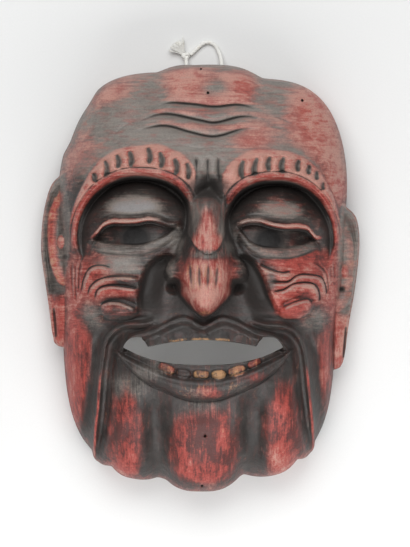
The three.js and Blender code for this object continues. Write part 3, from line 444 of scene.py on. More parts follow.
def eye(x, y, side):
    """Brow with its slotted tufts, sunken hollow, domed upper lid, eyeball and the bag below."""
    u, v, e, angle, browed, top, lid, brim = eye_parts(x, y, side)
    out = browed * 4.5 * smooth(0.97, 1.04, e) * fall(1.2, 2.0, e)
    out = out + 2.6 * browed * hump((e - 1.04) / 0.07) - 1.4 * browed * hump((e - BROW_CUT) / 0.024)
    half = (top - BROW_FOOT) / 2 + 0.02
    across = (e - (BROW_FOOT + top) / 2) / half
    tuft = np.where(across < 0, mound(across, 2.4, 0.6), hump(np.clip(across - 0.1, 0, None) / 1.15))
    tuft = tuft * browed * smooth(10, 45, angle)
    slots = np.zeros(x.shape)
    for slot in EYES[side]["slots"]:
        line = slot_line(*slot, side)
        slots = slots + groove(x, y, line, 2.6, 1.9, 0.3, 0.3) + groove(x, y, line, 4.8, 2.6, 0.12, 0.18)
    out = out + 5.6 * tuft + slots * smooth(1.05, 1.12, e) * smooth(top + 0.05, top - 0.05, e)
    sink = fall(0.9, 1.0, e) * smooth(-0.55, 0.1, v)
    out = out - (9.0 + 11.0 * smooth(0.15, 0.75, v)) * sink
    wide = np.abs(u)
    over = v - lid
    dome = mound(far(u, v, 0, 0.06, 0.96, 0.84), 2.8, 0.5)
    corner = smooth(0.62, 0.9, wide)
    lidded = smooth(-0.03 - 0.4 * corner, 0.015 + 0.3 * corner, over)
    out = out + 15.5 * dome * lidded
    out = out - 1.0 * hump((over - LID_CREASE - 0.03 * u) / 0.03) * fall(0.4, 0.68, wide)
    out = out + 1.5 * hump((over - 0.035) / 0.05) * fall(0.72, 0.85, wide)
    gape = (1 - lidded) * smooth(-0.035, 0.02, v - brim) * smooth(0.0, 0.08, lid - brim)
    ball = mound(far(u, v, -0.02, 0.08, 0.8, 0.45), 2, 0.5)
    out = out + gape * (8.0 * ball - 5.5)
    below = brim - v
    bag = smooth(-0.015, 0.03, below) * fall(0.06, 0.34, below) * fall(0.66, 0.86, wide)
    return out + 4.4 * bag - 1.3 * hump((below - BAG_CREASE) / 0.05) * fall(0.45, 0.8, wide)


def fold(x, y, points):
    """A fold that laps over the one below: a thin cut, with a crest on its right that dies away."""
    d, t = near_line(x, y, points, 9)
    cut = -1.5 * hump(d / 0.85) - 1.0 * hump((d - 1.3) / 2.8)
    crest = 1.6 * smooth(0.2, 1.3, -d) * fall(1.6, 6.0, -d)
    return (cut + crest) * ends(t, 0.12, 0.08)


def cheek(x, y, side):
    out = 7.5 * hump(far(x, y, side * 52, -10, 34, 36)) + 4.2 * mound(far(x, y, *POUCHES[side]), 2, 0.7)
    for points in FOLDS[side]:
        out = out + fold(x, y, points)
    for points in CREASES[side]:
        out = out + groove(x, y, points, 1.1, 1.2)
    return out


def bridge(x, y):
    """0 on the middle line of the shield-shaped bridge, 1 on its edge."""
    half = 12.4 * np.clip((y - 14.4) / 12.5, 1e-6, 1) ** 0.44
    return np.where(y > 14.4, np.abs(x - NOSE_X - 0.1 * np.clip(27 - y, 0, None)) / half, 9.0)


def with_nose(x, y, z):
    """The face with trenches beside the nose, its body, bridge, wings, nostrils, root and grooves."""
    for side in (-1, 1):
        d, t = near_line(x, y, EYES[side]["trench"], 14, 90)
        inner = -side * d
        z = z - 11.0 * np.where(inner > 0, hump(inner / 13.0), hump(inner / 5.0)) * ends(t, 0.22, 0.4)
        z = z - 4.0 * hump(far(x, y, 1 + side * 24, -10, 18, 20))
    d = np.abs(x - NOSE_X + 0.02 * (20 - y)) / glide(y, NOSE_HALF)
    body = np.where((y > -29) & (y < 70), glide(y, NOSE_CREST) - 15 * d**2.4, ABSENT)
    z = higher(z, body, 4.0)
    z = z + 3.4 * fall(0.84, 1.0, bridge(x, y)) * fall(44, 56, y)
    for side in (-1, 1):
        wx = x - NOSE_X - side * 16.5
        q = np.hypot(wx / 9.5, (y - 5.0 + 0.35 * side * wx) / 9.0)
        z = higher(z, np.where(q < 1, 58 + 23.0 * mound(q, 2, 0.55), ABSENT), 9.0)
        z = z - 7 * hump(far(x, y, NOSE_X + side * 18.0, -5.5, 8.5, 6.5))
    z = z - 7.0 * hump(far(x, y, NOSE_X + 1.0, 56.0, 17, 9))
    for points in NOSE_GROOVES:
        z = z + groove(x, y, points, 2.7, 2.2, 0.4, 0.4)
    return z


def lower_tooth(x, y, shape):
    """Distance from the middle of a lower tooth, 1 on its edge."""
    u, v = in_oval(x, y, *shape)
    return (np.abs(u) ** 2.8 + np.abs(v) ** 2.8) ** (1 / 2.8)


def lips(x, y):
    ax = np.abs(x - 0.3)
    bow = glide(ax, LIP_BOW)
    out = (2.6 * hump((y - bow + 1.9) / 4.6) + 0.9 * hump((y - bow - 0.4) / 1.5)) * fall(50, 56, ax)
    below = smooth(0, 5, bow - y) * smooth(-50, -46, y) * fall(46, 54, ax)
    out = out - 3.6 * below * (y > -46)
    out = out - 2.0 * hump(far(x, y, 0, -25, 7, 8))
    for shape in UPPER_TEETH:
        q = far(x, y, *shape)
        out = out + (0.6 * mound(q, 2, 0.5) - 0.35 * hump((q - 1.02) / 0.14)) * (y < -31)
    foot = glide(ax, LIP_FOOT)
    brim = glide(ax, LIP_BRIM)
    half = np.maximum((brim - foot) / 2, 1.2)
    out = out + 6.5 * mound((y - (foot + brim) / 2) / half, 2.4, 0.7) * fall(51, 57, ax)
    out = out - 1.1 * hump((y - foot + 0.4) / 1.2) * fall(40, 54, ax)
    for shape in LOWER_TEETH:
        q = lower_tooth(x, y, shape)
        out = out + 1.9 * mound(q, 2.2, 0.8) - 0.5 * hump((q - 1.08) / 0.2)
    return out


def moustache(x, y):
    out = np.zeros(x.shape)
    for side, path in MOUSTACHE.items():
        d, t = near_line(x, y, path, 14, 60)
        inner = -side * d
        w = glide(t, [(0, 3.5), (0.2, 4.5), (0.45, 5.5), (0.85, 5.0), (1, 3.5)])
        cut = -3.6 * hump((inner - 0.95 * w) / w) - 3.0 * hump((inner + 0.9 * w) / w)
        rise = 2.2 * hump(d / 2.6) + 0.8 * hump((inner - 1.0 * w) / 1.3) * smooth(0.3, 0.5, t)
        out = out + (cut + rise) * ends(t, 0.1, 0.0)
    return out


def beard(x, y):
    out = np.zeros(x.shape)
    for px, half, start, rise, run in BEARD:
        d = np.abs(x - px) / (1.08 * half)
        drop = start - y - 6.0 * np.clip(d, 0, 1) ** 2
        out = out + rise * mound(d, 2.4, 1.25) * smooth(0, run, drop)
    for px, half in BEARD_VALLEYS:
        out = out - 4.6 * hump((x - px) / (1.25 * half)) * smooth(-62, -84, y)
    return out


def ear(x, y, side):
    """Height of an ear's front, far below where there is none."""
    shape = EARS[side]
    edge = ear_edge(y, side)
    inn = edge - side * x
    z = EAR_Z + 3 * smooth(0, 2.2, inn) + 1.08 * np.clip(inn - 3, 0, 17)
    z = z - 12 * smooth(0, 3, glide(y, shape["root"]) - side * x)
    d, t = near_line(x, y, shape["inner"], 16, 40)
    within = -side * d
    z = z - 2.4 * smooth(2.5, 6.5, within) * fall(10, 13, within) * ends(t, 0.15, 0.15)
    shell = np.where(within > 0, hump(within / 8), mound(within / 1.6, 2, 0.8)) * ends(t, 0.06, 0.12)
    d, t = near_line(x, y, shape["helix"], 8, 40)
    helix = mound(d / 1.6, 2, 0.8) * ends(t, 0.06, 0.12)
    z = z + np.max([3 * helix, 3 * shell, 4 * mound(far(x, y, *shape["lobe"]), 2, 0.7),
                    5 * mound(far(x, y, *shape["knob"]), 2, 0.7)], axis=0)
    z = z - 3 * hump(far(x, y, *shape["hole"], 2.8, 2.8))
    z = z + groove(x, y, shape["slit"], 1.3, 3.0, 0.15, 0.15)
    return np.where((edge > 0) & (side * x > 74) & (inn > -1), z, ABSENT)


def front(x, y):
    """Height of the carved face above the rim plane."""
    phi = np.arctan2(y, x)
    r = np.hypot(x, y)
    plain = oval(phi)
    rho = np.clip(r / (plain + lumps(phi) * smooth(0.62, 1.0, r / plain)), 0, 1)
    z = EDGE_Z + (DOME_Z - EDGE_Z) * mound(rho, DOME_POWER, 0.5)
    fade = fall(0.88, 1.0, rho)
    z = z + 9 * hump(far(x, y, 0, -48, 70, 60)) * fade
    z = z + forehead(x, y) * fade
    for side in (-1, 1):
        z = z + (cheek(x, y, side) + eye(x, y, side)) * fade
    z = with_nose(x, y, z)
    z = z + lips(x, y) * fade + moustache(x, y) + beard(x, y)
    for side in (-1, 1):
        z = higher(z, ear(x, y, side), 1.5)
    return z


def bowl(x, y):
    """Height of the scooped inside: a smooth bowl that keeps clear of the deep carving."""
    z = BOWL_Z * mound(np.clip(bowl_share(x, y), 0, 1), DOME_POWER, 0.5)
    z = z + 5.0 * hump(far(x, y, 0, -46, 62, 44))
    z = z + 14.0 * hump(far(x, y, NOSE_X, -4, 20, 34))
    for side in (-1, 1):
        cx, cy, a, b = EYES[side]["hollow"]
        z = z - 15.0 * fall(0.6, 1.3, far(x, y, cx - 5 * side, cy + 10, a, b))
        z = z - 13.0 * hump(far(x, y, NOSE_X + side * 34, -4, 26, 28))
    return np.clip(z, 0, None)


# Fine surface of the wood, on a raster of the face half a millimetre fine.

RASTER = 0.5
LEFT, LOW = -105.0, -141.0
WIDE, HIGH = 421, 565
# Spacing of corners round the outline and the mouth and in the bowl, and the room left beside those loops.
EDGE_STEP, LIP_STEP, BOWL_STEP = 1.05, 0.75, 2.0
FACE_GAP, BOWL_GAP = 0.5, 0.7
# Places of the rows of corners through the mouth, and of the rings round a beetle hole.
THROUGH_MOUTH = (0.05, 0.2, 0.45, 0.72, 0.93)
PIT_RINGS = (0.4, 0.75, 0.95, 1.15)
GOUGE_SEED = 7


def soften(field, sigma):
    """A field blurred over sigma millimetres."""
    rows, cols = field.shape
    pad = int(4 * sigma / RASTER) + 1
    big = np.pad(field, pad, mode="edge")
    fy = np.fft.fftfreq(big.shape[0], RASTER)[:, None]
    fx = np.fft.rfftfreq(big.shape[1], RASTER)[None, :]
    spread = np.exp(-2 * (math.pi * sigma) ** 2 * (fx * fx + fy * fy))
    return np.fft.irfft2(np.fft.rfft2(big) * spread, big.shape)[pad:pad + rows, pad:pad + cols]


def sample(field, x, y):
    """Values of a raster field at points of the carver's plane."""
    gx = np.clip((x - LEFT) / RASTER, 0, WIDE - 1.001)
    gy = np.clip((y - LOW) / RASTER, 0, HIGH - 1.001)
    i, j = gx.astype(int), gy.astype(int)
    fx, fy = gx - i, gy - j
    return (field[j, i] * (1 - fx) * (1 - fy) + field[j, i + 1] * fx * (1 - fy)
            + field[j + 1, i] * (1 - fx) * fy + field[j + 1, i + 1] * fx * fy)


def beetle_pits(x, y):
    out = np.zeros(x.shape)
    for px, py, r in BEETLE_HOLES:
        out = out - 3.0 * fall(0.75, 1.1, np.hypot(x - px, y - py) / r)
    return out


def far_point(angle, inside):
    """Farthest points of a region along rays from the middle of the mouth."""
    c, s = np.cos(angle), np.sin(angle)
    r = np.full(angle.shape, 200.0)
    for _ in range(400):
        out = ~inside(r * c, MOUTH_Y + r * s)
        if not out.any():
            break
        r = np.where(out, r - 0.5, r)
    near, far_off = r, r + 0.5
    for _ in range(24):
        half = (near + far_off) / 2
        within = inside(half * c, MOUTH_Y + half * s)
        near, far_off = np.where(within, half, near), np.where(within, far_off, half)
    return np.stack([near * c, MOUTH_Y + near * s], 1)


def spaced(loop, step):
    """Places round a closed loop, in steps of about that length, as indices with fractions."""
    closed = np.vstack([loop, loop[:1]])
    run = np.concatenate([[0], np.cumsum(np.hypot(*np.diff(closed, axis=0).T))])
    count = int(round(run[-1] / step))
    return np.interp(np.arange(count) / count * run[-1], run, np.arange(len(closed)))


def outer_loop(step, rays=6000):
    """Outline of the mask with its ears, and of the head alone in the same directions."""
    fine = np.linspace(-math.pi, math.pi, rays, endpoint=False)
    at = spaced(far_point(fine, in_mask), step)
    angle = -math.pi + at / rays * 2 * math.pi
    return far_point(angle, in_mask), far_point(angle, in_head)


def mouth_loop(step):
    """Edge of the open mouth on the face, and where the opening comes out in the bowl."""
    t = np.linspace(0, 2, 4000, endpoint=False)
    upper = t < 1
    w = np.where(upper, 1 - 2 * t, 2 * t - 3)
    x = MOUTH_HALF * np.sign(w) * (1 - (1 - np.abs(w)) ** 1.6)
    face = np.stack([x, np.where(upper, mouth_top(x), mouth_low(x))], 1)
    at = spaced(face, step).astype(int)
    face, x, upper = face[at], x[at], upper[at]
    k = (x / MOUTH_HALF) ** 2
    high = np.maximum(-39 - 5.5 * k + MOUTH_FLARE, mouth_top(x) + 1.2)
    back = np.stack([1.06 * x, np.where(upper, high, mouth_low(x) - MOUTH_FLARE * (1 - k))], 1)
    return face, back


def crossings(points, loop):
    """True for the points inside a closed loop."""
    inside = np.zeros(len(points), bool)
    px, py = points.T
    for (ax, ay), (bx, by) in zip(loop, np.roll(loop, -1, axis=0)):
        cut = (ay > py) != (by > py)
        if cut.any():
            inside ^= cut & (px < (bx - ax) * (py - ay) / (by - ay + 1e-12) + ax)
    return inside


def lattice(step):
    """Points of a triangular lattice over the mask, and which make up the lattice twice as coarse."""
    rise = step * math.sqrt(3) / 2
    j, i = np.mgrid[0:int(284 / rise), 0:int(212 / step)]
    x = -106 + (i + 0.5 * (j % 2)) * step
    y = -142 + j * rise
    coarse = (j % 2 == 0) & ((i + (j // 2) % 2) % 2 == 0)
    return np.stack([x.ravel(), y.ravel()], 1), coarse.ravel()


def clear_of(points, loops, gap):
    """True for the points that keep a gap to every loop's corners."""
    corners = np.vstack(loops)
    tree = KDTree(len(corners))
    for k, (x, y) in enumerate(corners):
        tree.insert((x, y, 0), k)
    tree.balance()
    return np.array([tree.find((x, y, 0))[2] > gap for x, y in points])


def web(outer, inner, filling):
    """Triangles over the filling points between two loops. Corners come in the order given."""
    points = np.vstack([outer, inner, filling])
    n, m = len(outer), len(inner)
    edges = [(k, (k + 1) % n) for k in range(n)] + [(n + k, n + (k + 1) % m) for k in range(m)]
    made = delaunay_2d_cdt([Vector(p) for p in points], edges, [], 0, 1e-7)
    if len(made[0]) != len(points):
        raise RuntimeError(f"the web of the mask gained {len(made[0]) - len(points)} points")
    origin = np.array([o[0] for o in made[3]])
    faces = origin[np.array(made[2])]
    rim = (faces < n + m).all(1)
    middle = points[faces[rim]].mean(1)
    keep = np.ones(len(faces), bool)
    keep[rim] = crossings(middle, outer) & ~crossings(middle, inner)
    return faces[keep]


def strip(first, second):
    """Triangles between two closed rows of corners that are numbered alike."""
    a, b = np.asarray(first), np.asarray(second)
    a2, b2 = np.roll(a, -1), np.roll(b, -1)
    return np.vstack([np.stack([b2, b, a], 1), np.stack([a2, b2, a], 1)])


def gouges(x, y):
    """Shallow scoops that the gouge left in the bowl."""
    rng = np.random.default_rng(GOUGE_SEED)
    j, i = np.mgrid[-16:17, -12:13]
    sx = (i + 0.5 * (j % 2)) * 8.5 + rng.uniform(-1.8, 1.8, i.shape)
    sy = j * 9.5 + rng.uniform(-2.2, 2.2, i.shape)
    best = np.full(x.shape, NOWHERE)
    for cx, cy in zip(sx.ravel(), sy.ravel()):
        best = np.minimum(best, (x - cx) ** 2 + ((y - cy) / 1.35) ** 2)
    return 0.75 - best / 32.0


def face_relief():
    """Raster of the carved face."""
    gx, gy = np.meshgrid(LEFT + RASTER * np.arange(WIDE), LOW + RASTER * np.arange(HIGH))
    return front(gx.ravel(), gy.ravel()).reshape(HIGH, WIDE)


def face_dots(relief, fineness, corners):
    """Corners inside the face: all of a coarse lattice, more where the carving bends most, and the pits."""
    dots, coarse = lattice(fineness)
    within = in_mask(*dots.T) & ~in_mouth(*dots.T)
    dots, coarse = dots[within], coarse[within]
    gy, gx = np.gradient(soften(relief, 0.35), RASTER)
    bend = np.sqrt(np.gradient(gx, RASTER, axis=1) ** 2 + 2 * np.gradient(gx, RASTER, axis=0) ** 2
                   + np.gradient(gy, RASTER, axis=0) ** 2)
    need = sample(soften(bend, 0.5), *dots.T)
    need[coarse] = np.inf
    dots = dots[np.argsort(-need, kind="stable")[:corners]]
    for px, py, r in BEETLE_HOLES:
        dots = dots[np.hypot(dots[:, 0] - px, dots[:, 1] - py) > 1.5 * r]
        rings = [(px, py)]
        for q in PIT_RINGS:
            turns = [k * math.pi / 5 + q for k in range(10)]
            rings += [(px + r * q * math.cos(turn), py + r * q * math.sin(turn)) for turn in turns]
        dots = np.vstack([dots, rings])
    return dots


class Sheet:
    """Corners and triangles of the mask, gathered row by row into one closed sheet."""

    def __init__(self):
        self.points = []
        self.faces = []
        self.count = 0

    def add(self, points):
        """Add corners, and give their numbers."""
        self.points.append(points)
        self.count += len(points)
        return np.arange(self.count - len(points), self.count)

    def carry_on(self, last, ring):
        """Join a row of corners to a new one."""
        made = self.add(ring)
        self.faces.append(strip(last, made))
        return made


def side_rows(edge, head, edge_z):
    """Rows of corners round the edge, down the side and across the rim to the bowl."""
    phi = np.arctan2(head[:, 1], head[:, 0])
    rim, inner = outline(phi), oval(phi) - RIM_INNER
    eared = np.hypot(*(edge - head).T) > 0.5
    under = np.where(eared, edge_z - EAR_THICK, np.minimum(11.0, edge_z - 2))
    rows = [np.column_stack([edge * share, mix(edge_z, under, drop)])
            for share, drop in ((1, 0.25), (0.9995, 0.75), (0.998, 1.0))]
    for r, z in ((rim - 0.6, np.where(eared, 10.0, 7.0)), (rim - 1.1, 4.0), (rim - 1.8, 0.7),
                 (rim - RIM_INSET - 0.5, 0.0), (inner + 0.6, 0.0), (inner, 0.25)):
        rows.append(np.column_stack([r * np.cos(phi), r * np.sin(phi), np.broadcast_to(z, phi.shape)]))
    return rows


def mask_mesh(relief, fineness, corners):
    """Corners in millimetres and triangles of the whole mask."""
    edge, head = outer_loop(EDGE_STEP)
    lip, back = mouth_loop(LIP_STEP)
    dots = face_dots(relief, fineness, corners)
    dots = dots[clear_of(dots, [edge, lip], FACE_GAP)]
    n, m = len(edge), len(lip)
    plane = np.vstack([edge, lip, dots])
    z = front(*plane.T) + beetle_pits(*plane.T)
    sheet = Sheet()
    number = sheet.add(np.column_stack([plane, z]))
    sheet.faces.append(web(edge, lip, dots))

    last = number[:n]
    for ring in side_rows(edge, head, z[:n]):
        last = sheet.carry_on(last, ring)
    bowl_rim = ring[:, :2]

    face_z, back_z = z[n:n + m], bowl(*back.T)
    through = number[n:n + m]
    for t in THROUGH_MOUTH:
        bulge = 1 - (1 - t) ** 2
        through = sheet.carry_on(through, np.column_stack([
            mix(lip, back, 0.25 * t + 0.75 * t * t), mix(face_z, back_z, 0.25 * t + 0.75 * bulge * t)]))
    mouth_back = sheet.carry_on(through, np.column_stack([back, back_z]))

    dots, _ = lattice(BOWL_STEP)
    dots = dots[(bowl_share(*dots.T) < 0.992) & ~crossings(dots, back)]
    dots = dots[clear_of(dots, [bowl_rim, back], BOWL_GAP)]
    calm = fall(0.93, 1.0, bowl_share(*dots.T))
    calm = calm * smooth(0, 6, far(*dots.T, 0, MOUTH_Y, 1.2, 0.5) - 45)
    inside = sheet.add(np.column_stack([dots, bowl(*dots.T) + gouges(*dots.T) * calm]))
    number = np.concatenate([last, mouth_back, inside])
    sheet.faces.append(number[web(bowl_rim, back, dots)[:, ::-1]])
    return np.vstack(sheet.points), np.vstack(sheet.faces)


# Paint: coats laid over the face, from ovals of paint and from the carving itself.

# Ovals of each coat: middle, half sizes, turn in degrees if any, strength. Red is whole vermilion, rubbed
# lets the lacquer through it, deep darkens it, rose pales it, the grey coat is lacquer worn grey and a
# highlight painted on the left nose wing, ochre is gilding, pale is wear, and the dark coat is painted
# shade in hollows and grooves, with some dark paint.
AREAS = {
    "red": [
        # skull and temples
        (-57, 115, 19, 8, 32, 0.7), (-74, 79, 12, 15, 0.55), (-84, 68, 6, 14, 0.35),
        (70, 106, 19, 18, 1), (76, 82, 16, 19, 0.85), (83, 58, 10, 15, 0.9), (61, 89, 15, 11, 0.6),
        # crown
        (-11, 119, 15, 11, 0.95), (24, 118, 12, 11, 0.9), (6, 109, 21, 6, 0.75),
        (-2, 126, 30, 6, 0.6),
        # forehead
        (31, 84, 16, 8, 0.8), (38, 97, 15, 8, 0.5), (-6, 102.5, 26, 2.6, 0.5),
        (8, 93, 32, 3, -2, 0.55),
        # nose
        (2, -3, 17, 19, 1), (18, 8, 5, 7, 0.2),
        # left cheek and jaw
        (-68, -2, 15, 20, 0.8), (-52, -9, 12, 3.5, 0.8), (-51, -20, 11, 5, 0.3),
        (-82, -14, 6, 26, 0.6), (-80, -60, 8, 42, -3, 1), (-78, -52, 8, 26, -3, 1),
        # right cheek and jaw
        (58, -3, 24, 21, 0.9), (54, -17, 14, 9, 0.7), (61, 12, 20, 6, 1), (81, -12, 6, 29, 0.65),
        (77, -54, 5.5, 34, 3, 0.6),
        # middle lobe of the beard
        (-13, -108, 7, 16, 0.75), (14, -102, 7, 19, 0.8), (1, -121, 15, 7, 0.9),
        (1, -103, 21, 22, 0.8),
        # side lobes of the beard
        (-46, -92, 6, 21, 0.75), (-49, -98, 12, 25, 0.7), (-48, -117, 8, 8, 0.85),
        (51, -96, 13, 26, 0.7), (50, -90, 7, 23, 0.95), (50, -116, 9, 9, 0.9),
        # lower lip
        (2, -71, 11, 4, 0.5), (34, -62, 10, 4, 0.35),
    ],
    "rubbed": [
        # cheeks, bridge and jaw
        (-51, -20, 8, 3, 0.35), (-69, -24, 8, 9, 0.8), (71, -26, 9, 9, 0.75), (-45, 5, 9, 5, 0.6),
        (42, -2, 4, 9, 0.7), (2, 13.5, 11, 3.2, 0.85), (-69, -66, 3.5, 24, -3, 0.2),
        # beard
        (-4, -113, 5, 8, 0.3), (1, -98, 4, 4, 0.4), (18, -92, 3.5, 9, 0.6),
        (-54, -96, 2.5, 14, 0.5), (56, -88, 3, 12, 0.45),
    ],
    "deep": [
        (0, -96, 13, 13, 0.85), (-55, -96, 6, 24, 0.6), (58, -94, 6, 24, 0.6),
        (-30, -100, 6, 26, 0.6), (31, -100, 6, 26, 0.6), (-51, -20, 9, 4, 0.9),
        (-46, -90, 6, 16, 0.5), (57, 9, 14, 5, 0.9), (55, -18, 12, 8, 0.8), (-71, -60, 5, 26, 0.4),
    ],
    "rose": [
        (-5, 118, 24, 12, 0.8), (68, 106, 22, 20, 0.6), (-58, 115, 22, 10, 32, 0.5),
        (2, -2, 13, 16, 1), (50, -117, 13, 13, 0.9), (-49, -118, 12, 12, 0.25),
        (82, 70, 12, 32, 0.5), (0, 119, 30, 12, 0.4), (-60, -4, 26, 22, 0.35),
        (60, -4, 26, 22, 0.35),
    ],
    "ash": [
        # The grey coat: lacquer worn grey, and on the left nose wing a painted highlight.
        (-46, -68, 12, 9, 0.5), (0, -80, 14, 6, 0.35), (-54, 8, 16, 8, 0.9), (13, 113, 5, 5, 0.6),
        (-32, -58, 12, 6, 0.5), (3, 69, 11, 6, 0.75), (-20.5, 5, 4.5, 7, 0.6),
        (21, 6, 4.5, 7, 0.25), (-16.5, 23, 5.5, 11, 0.5), (16.5, 23, 5.5, 11, 0.5),
        (0, 90, 60, 20, 0.35),
    ],
    "ochre": [(1, -21.5, 5, 1.8, 0.4), (-4, -70, 11, 4, 0.22), (20, -68, 9, 3.5, 0.18)],
    "pale": [(-3, -71, 12, 4, 0.45), (20, -68, 10, 4, 0.3)],
    # Painted shade in the hollow at the root of the nose and round the nostrils.
    "dark": [(3, 54.7, 17, 8.5, 0.97), (-14, -17, 10, 7, 0.55), (17, -17, 10, 7, 0.5)],
}
# Gilded lines beside the bridge of the nose.
GILT_LINES = [[(-20.6, 22.5), (-16.4, 29), (-14.2, 35.5)], [(19.1, 28.5), (22.5, 21.9), (32.5, 16.2)]]


class Coats:
    """Coats of paint over points of the face, each gathered from many touches."""

    def __init__(self):
        self.touches = {}

    def lay(self, **amounts):
        for name, amount in amounts.items():
            self.touches.setdefault(name, []).append(amount)

    def total(self, name):
        """Overlapping touches as one amount from 0 to 1."""
        bare = 1.0
        for touch in self.touches[name]:
            bare = bare * (1 - np.clip(touch, 0, 1))
        return 1 - bare


def stroke(line, width, start, end, beside=0.0):
    """1 along a line or beside it, where line is the distances and places that near_line gives."""
    d, t = line
    return hump((d - beside) / width) * ends(t, start, end)


def paint_brow(x, y, side, coats):
    _, _, e, angle, browed, top, _, _ = eye_parts(x, y, side)
    browed = browed * (e < 2.5)
    end = top - glide(angle, TUFT_END)
    gap = np.zeros(x.shape)
    for slot in EYES[side]["slots"]:
        d, t = near_line(x, y, slot_line(*slot, side), 5)
        gap = np.maximum(gap, hump(d / (1.4 + 1.9 * ends(t, 0.5, 0.5))) * ends(t, 0.2, 0.2))
    gap = gap * smooth(top + 0.03, top - 0.05, e)
    tuft = smooth(1.07, 1.11, e) * fall(end - 0.03, end + 0.05, e) * browed * (1 - gap)
    # The slots, and the cut under the brow below, are darkened as painted shade.
    coats.lay(red=0.95 * tuft, rose=0.95 * tuft * smooth(5, 45, angle), ash=0.6 * gap, dark=0.4 * gap,
              ochre=0.1 * tuft * smooth(20, 60, angle))
    coats.lay(red=hump((e - 1.03) / 0.09) * browed, dark=0.5 * hump((e - BROW_CUT) / 0.02) * browed,
              pale=0.55 * hump((e - 1.07) / 0.022) * browed * smooth(35, 60, angle))


def paint_eye(x, y, side, coats):
    looks = EYES[side]
    u, v, e, _, _, _, lid, brim = eye_parts(x, y, side)
    over, below, wide = v - lid, brim - v, np.abs(u)
    hollow = fall(0.93, 1.0, e) * smooth(-0.15, 0.05, v)
    middle = fall(0.62, 0.78, wide)
    roll = smooth(0.0, 0.03, over) * fall(0.05, 0.075, over) * middle
    roll = roll * (1 - smooth(0.3, 0.52, -u) * (side < 0))
    coats.lay(red=(0.25 + looks["roll_red"] * smooth(-0.1, 0.3, u)) * roll, rose=0.9 * roll,
              pale=(0.75 - looks["roll_fade"] * smooth(-0.1, 0.2, u)) * roll)
    edge = hump((over - 0.025) / 0.045) * fall(0.66, 0.8, wide)
    coats.lay(red=0.9 * edge * smooth(-0.5, 0.0, u))
    # The lid's crease is darkened as painted shade.
    coats.lay(pale=0.4 * hump((over - 0.155) / 0.02) * smooth(0.35, -0.1, u) * middle,
              dark=0.5 * hump((over - LID_CREASE - 0.03 * u) / 0.022) * middle)

    gape = fall(-0.02, 0.03, over) * smooth(-0.03, 0.02, -below) * fall(0.68, 0.8, wide)
    iris = gape * fall(0.55, 1.15, far(u, v, looks["iris"], 0.04, 0.29, 0.2))
    coats.lay(red=0.3 * gape * hump((np.abs(u - looks["iris"]) - 0.42) / 0.12), dark=0.98 * iris,
              black=iris, ash=0.16 * (gape - iris), gloss=0.1 * gape)

    # The lid's highlight is painted on as colour: a grey sheen, rosy on the right lid.
    a, b, strength, rose = looks["shine"]
    shine = hollow * (0.55 + 0.45 * smooth(0.46, 0.2, over)) * smooth(0.12, 0.2, over)
    shine = shine * fall(0.35, 0.95, far(u, v, 0.04, 0.53, a, b))
    coats.lay(sheen=strength * shine, rose=rose * np.clip(2 * shine, 0, 1))
    # The hollow under the brow is darkened as painted shade; the lid below it is painted grey.
    coats.lay(red=looks["hollow_red"] * hollow * smooth(0.1, 0.3, v),
              dark=0.62 * hollow * smooth(0.76, 0.88, far(u, v, 0, 0.02, 0.97, 0.9)),
              ash=0.45 * hollow * smooth(0.25, 0.4, v) * fall(0.6, 0.9, far(u, v, 0, 0, 0.9, 0.86)))
    bag = smooth(-0.03, 0.02, below) * fall(0.12, 0.24, below) * fall(0.55, 0.8, wide)
    # The bag is rubbed, and its crease darkened as painted shade.
    coats.lay(rubbed=0.8 * bag,
              dark=0.5 * hump((below - BAG_CREASE) / 0.03) * fall(0.45, 0.8, wide))


def paint_cheek(x, y, side, coats):
    d, t = near_line(x, y, EYES[side]["trench"], 16, 90)
    inner = -side * d
    wing = fall(0.75, 1.0, far(x, y, NOSE_X + side * 15.5, 6, 10.5, 9.5))
    scoop = np.where(inner > 0, fall(9, 17, inner), hump(inner / 3.0)) * ends(t, 0.12, 0.25)
    # Painted shade in the trench beside the nose, kept off the nose wing.
    coats.lay(dark=0.9 * scoop * (1 - wing))
    # Painted shade in the cut of each fold and crease.
    for points in FOLDS[side]:
        line = near_line(x, y, points, 6)
        crest = stroke(line, 1.7, 0.2, 0.15, beside=-1.6)
        coats.lay(dark=0.4 * stroke(line, 0.8, 0.12, 0.08), ochre=0.16 * crest, pale=0.75 * crest)
    for points in CREASES[side]:
        d, t = near_line(x, y, points, 4)
        coats.lay(dark=0.3 * stroke((d, t), 0.9, 0.3, 0.3),
                  pale=0.5 * stroke((np.abs(d), t), 0.8, 0.3, 0.3, beside=1.4))
    d, t = near_line(x, y, MOUSTACHE[side], 8, 60)
    coats.lay(red=0.75 * hump(d / 1.3) * smooth(0.45, 0.62, t))


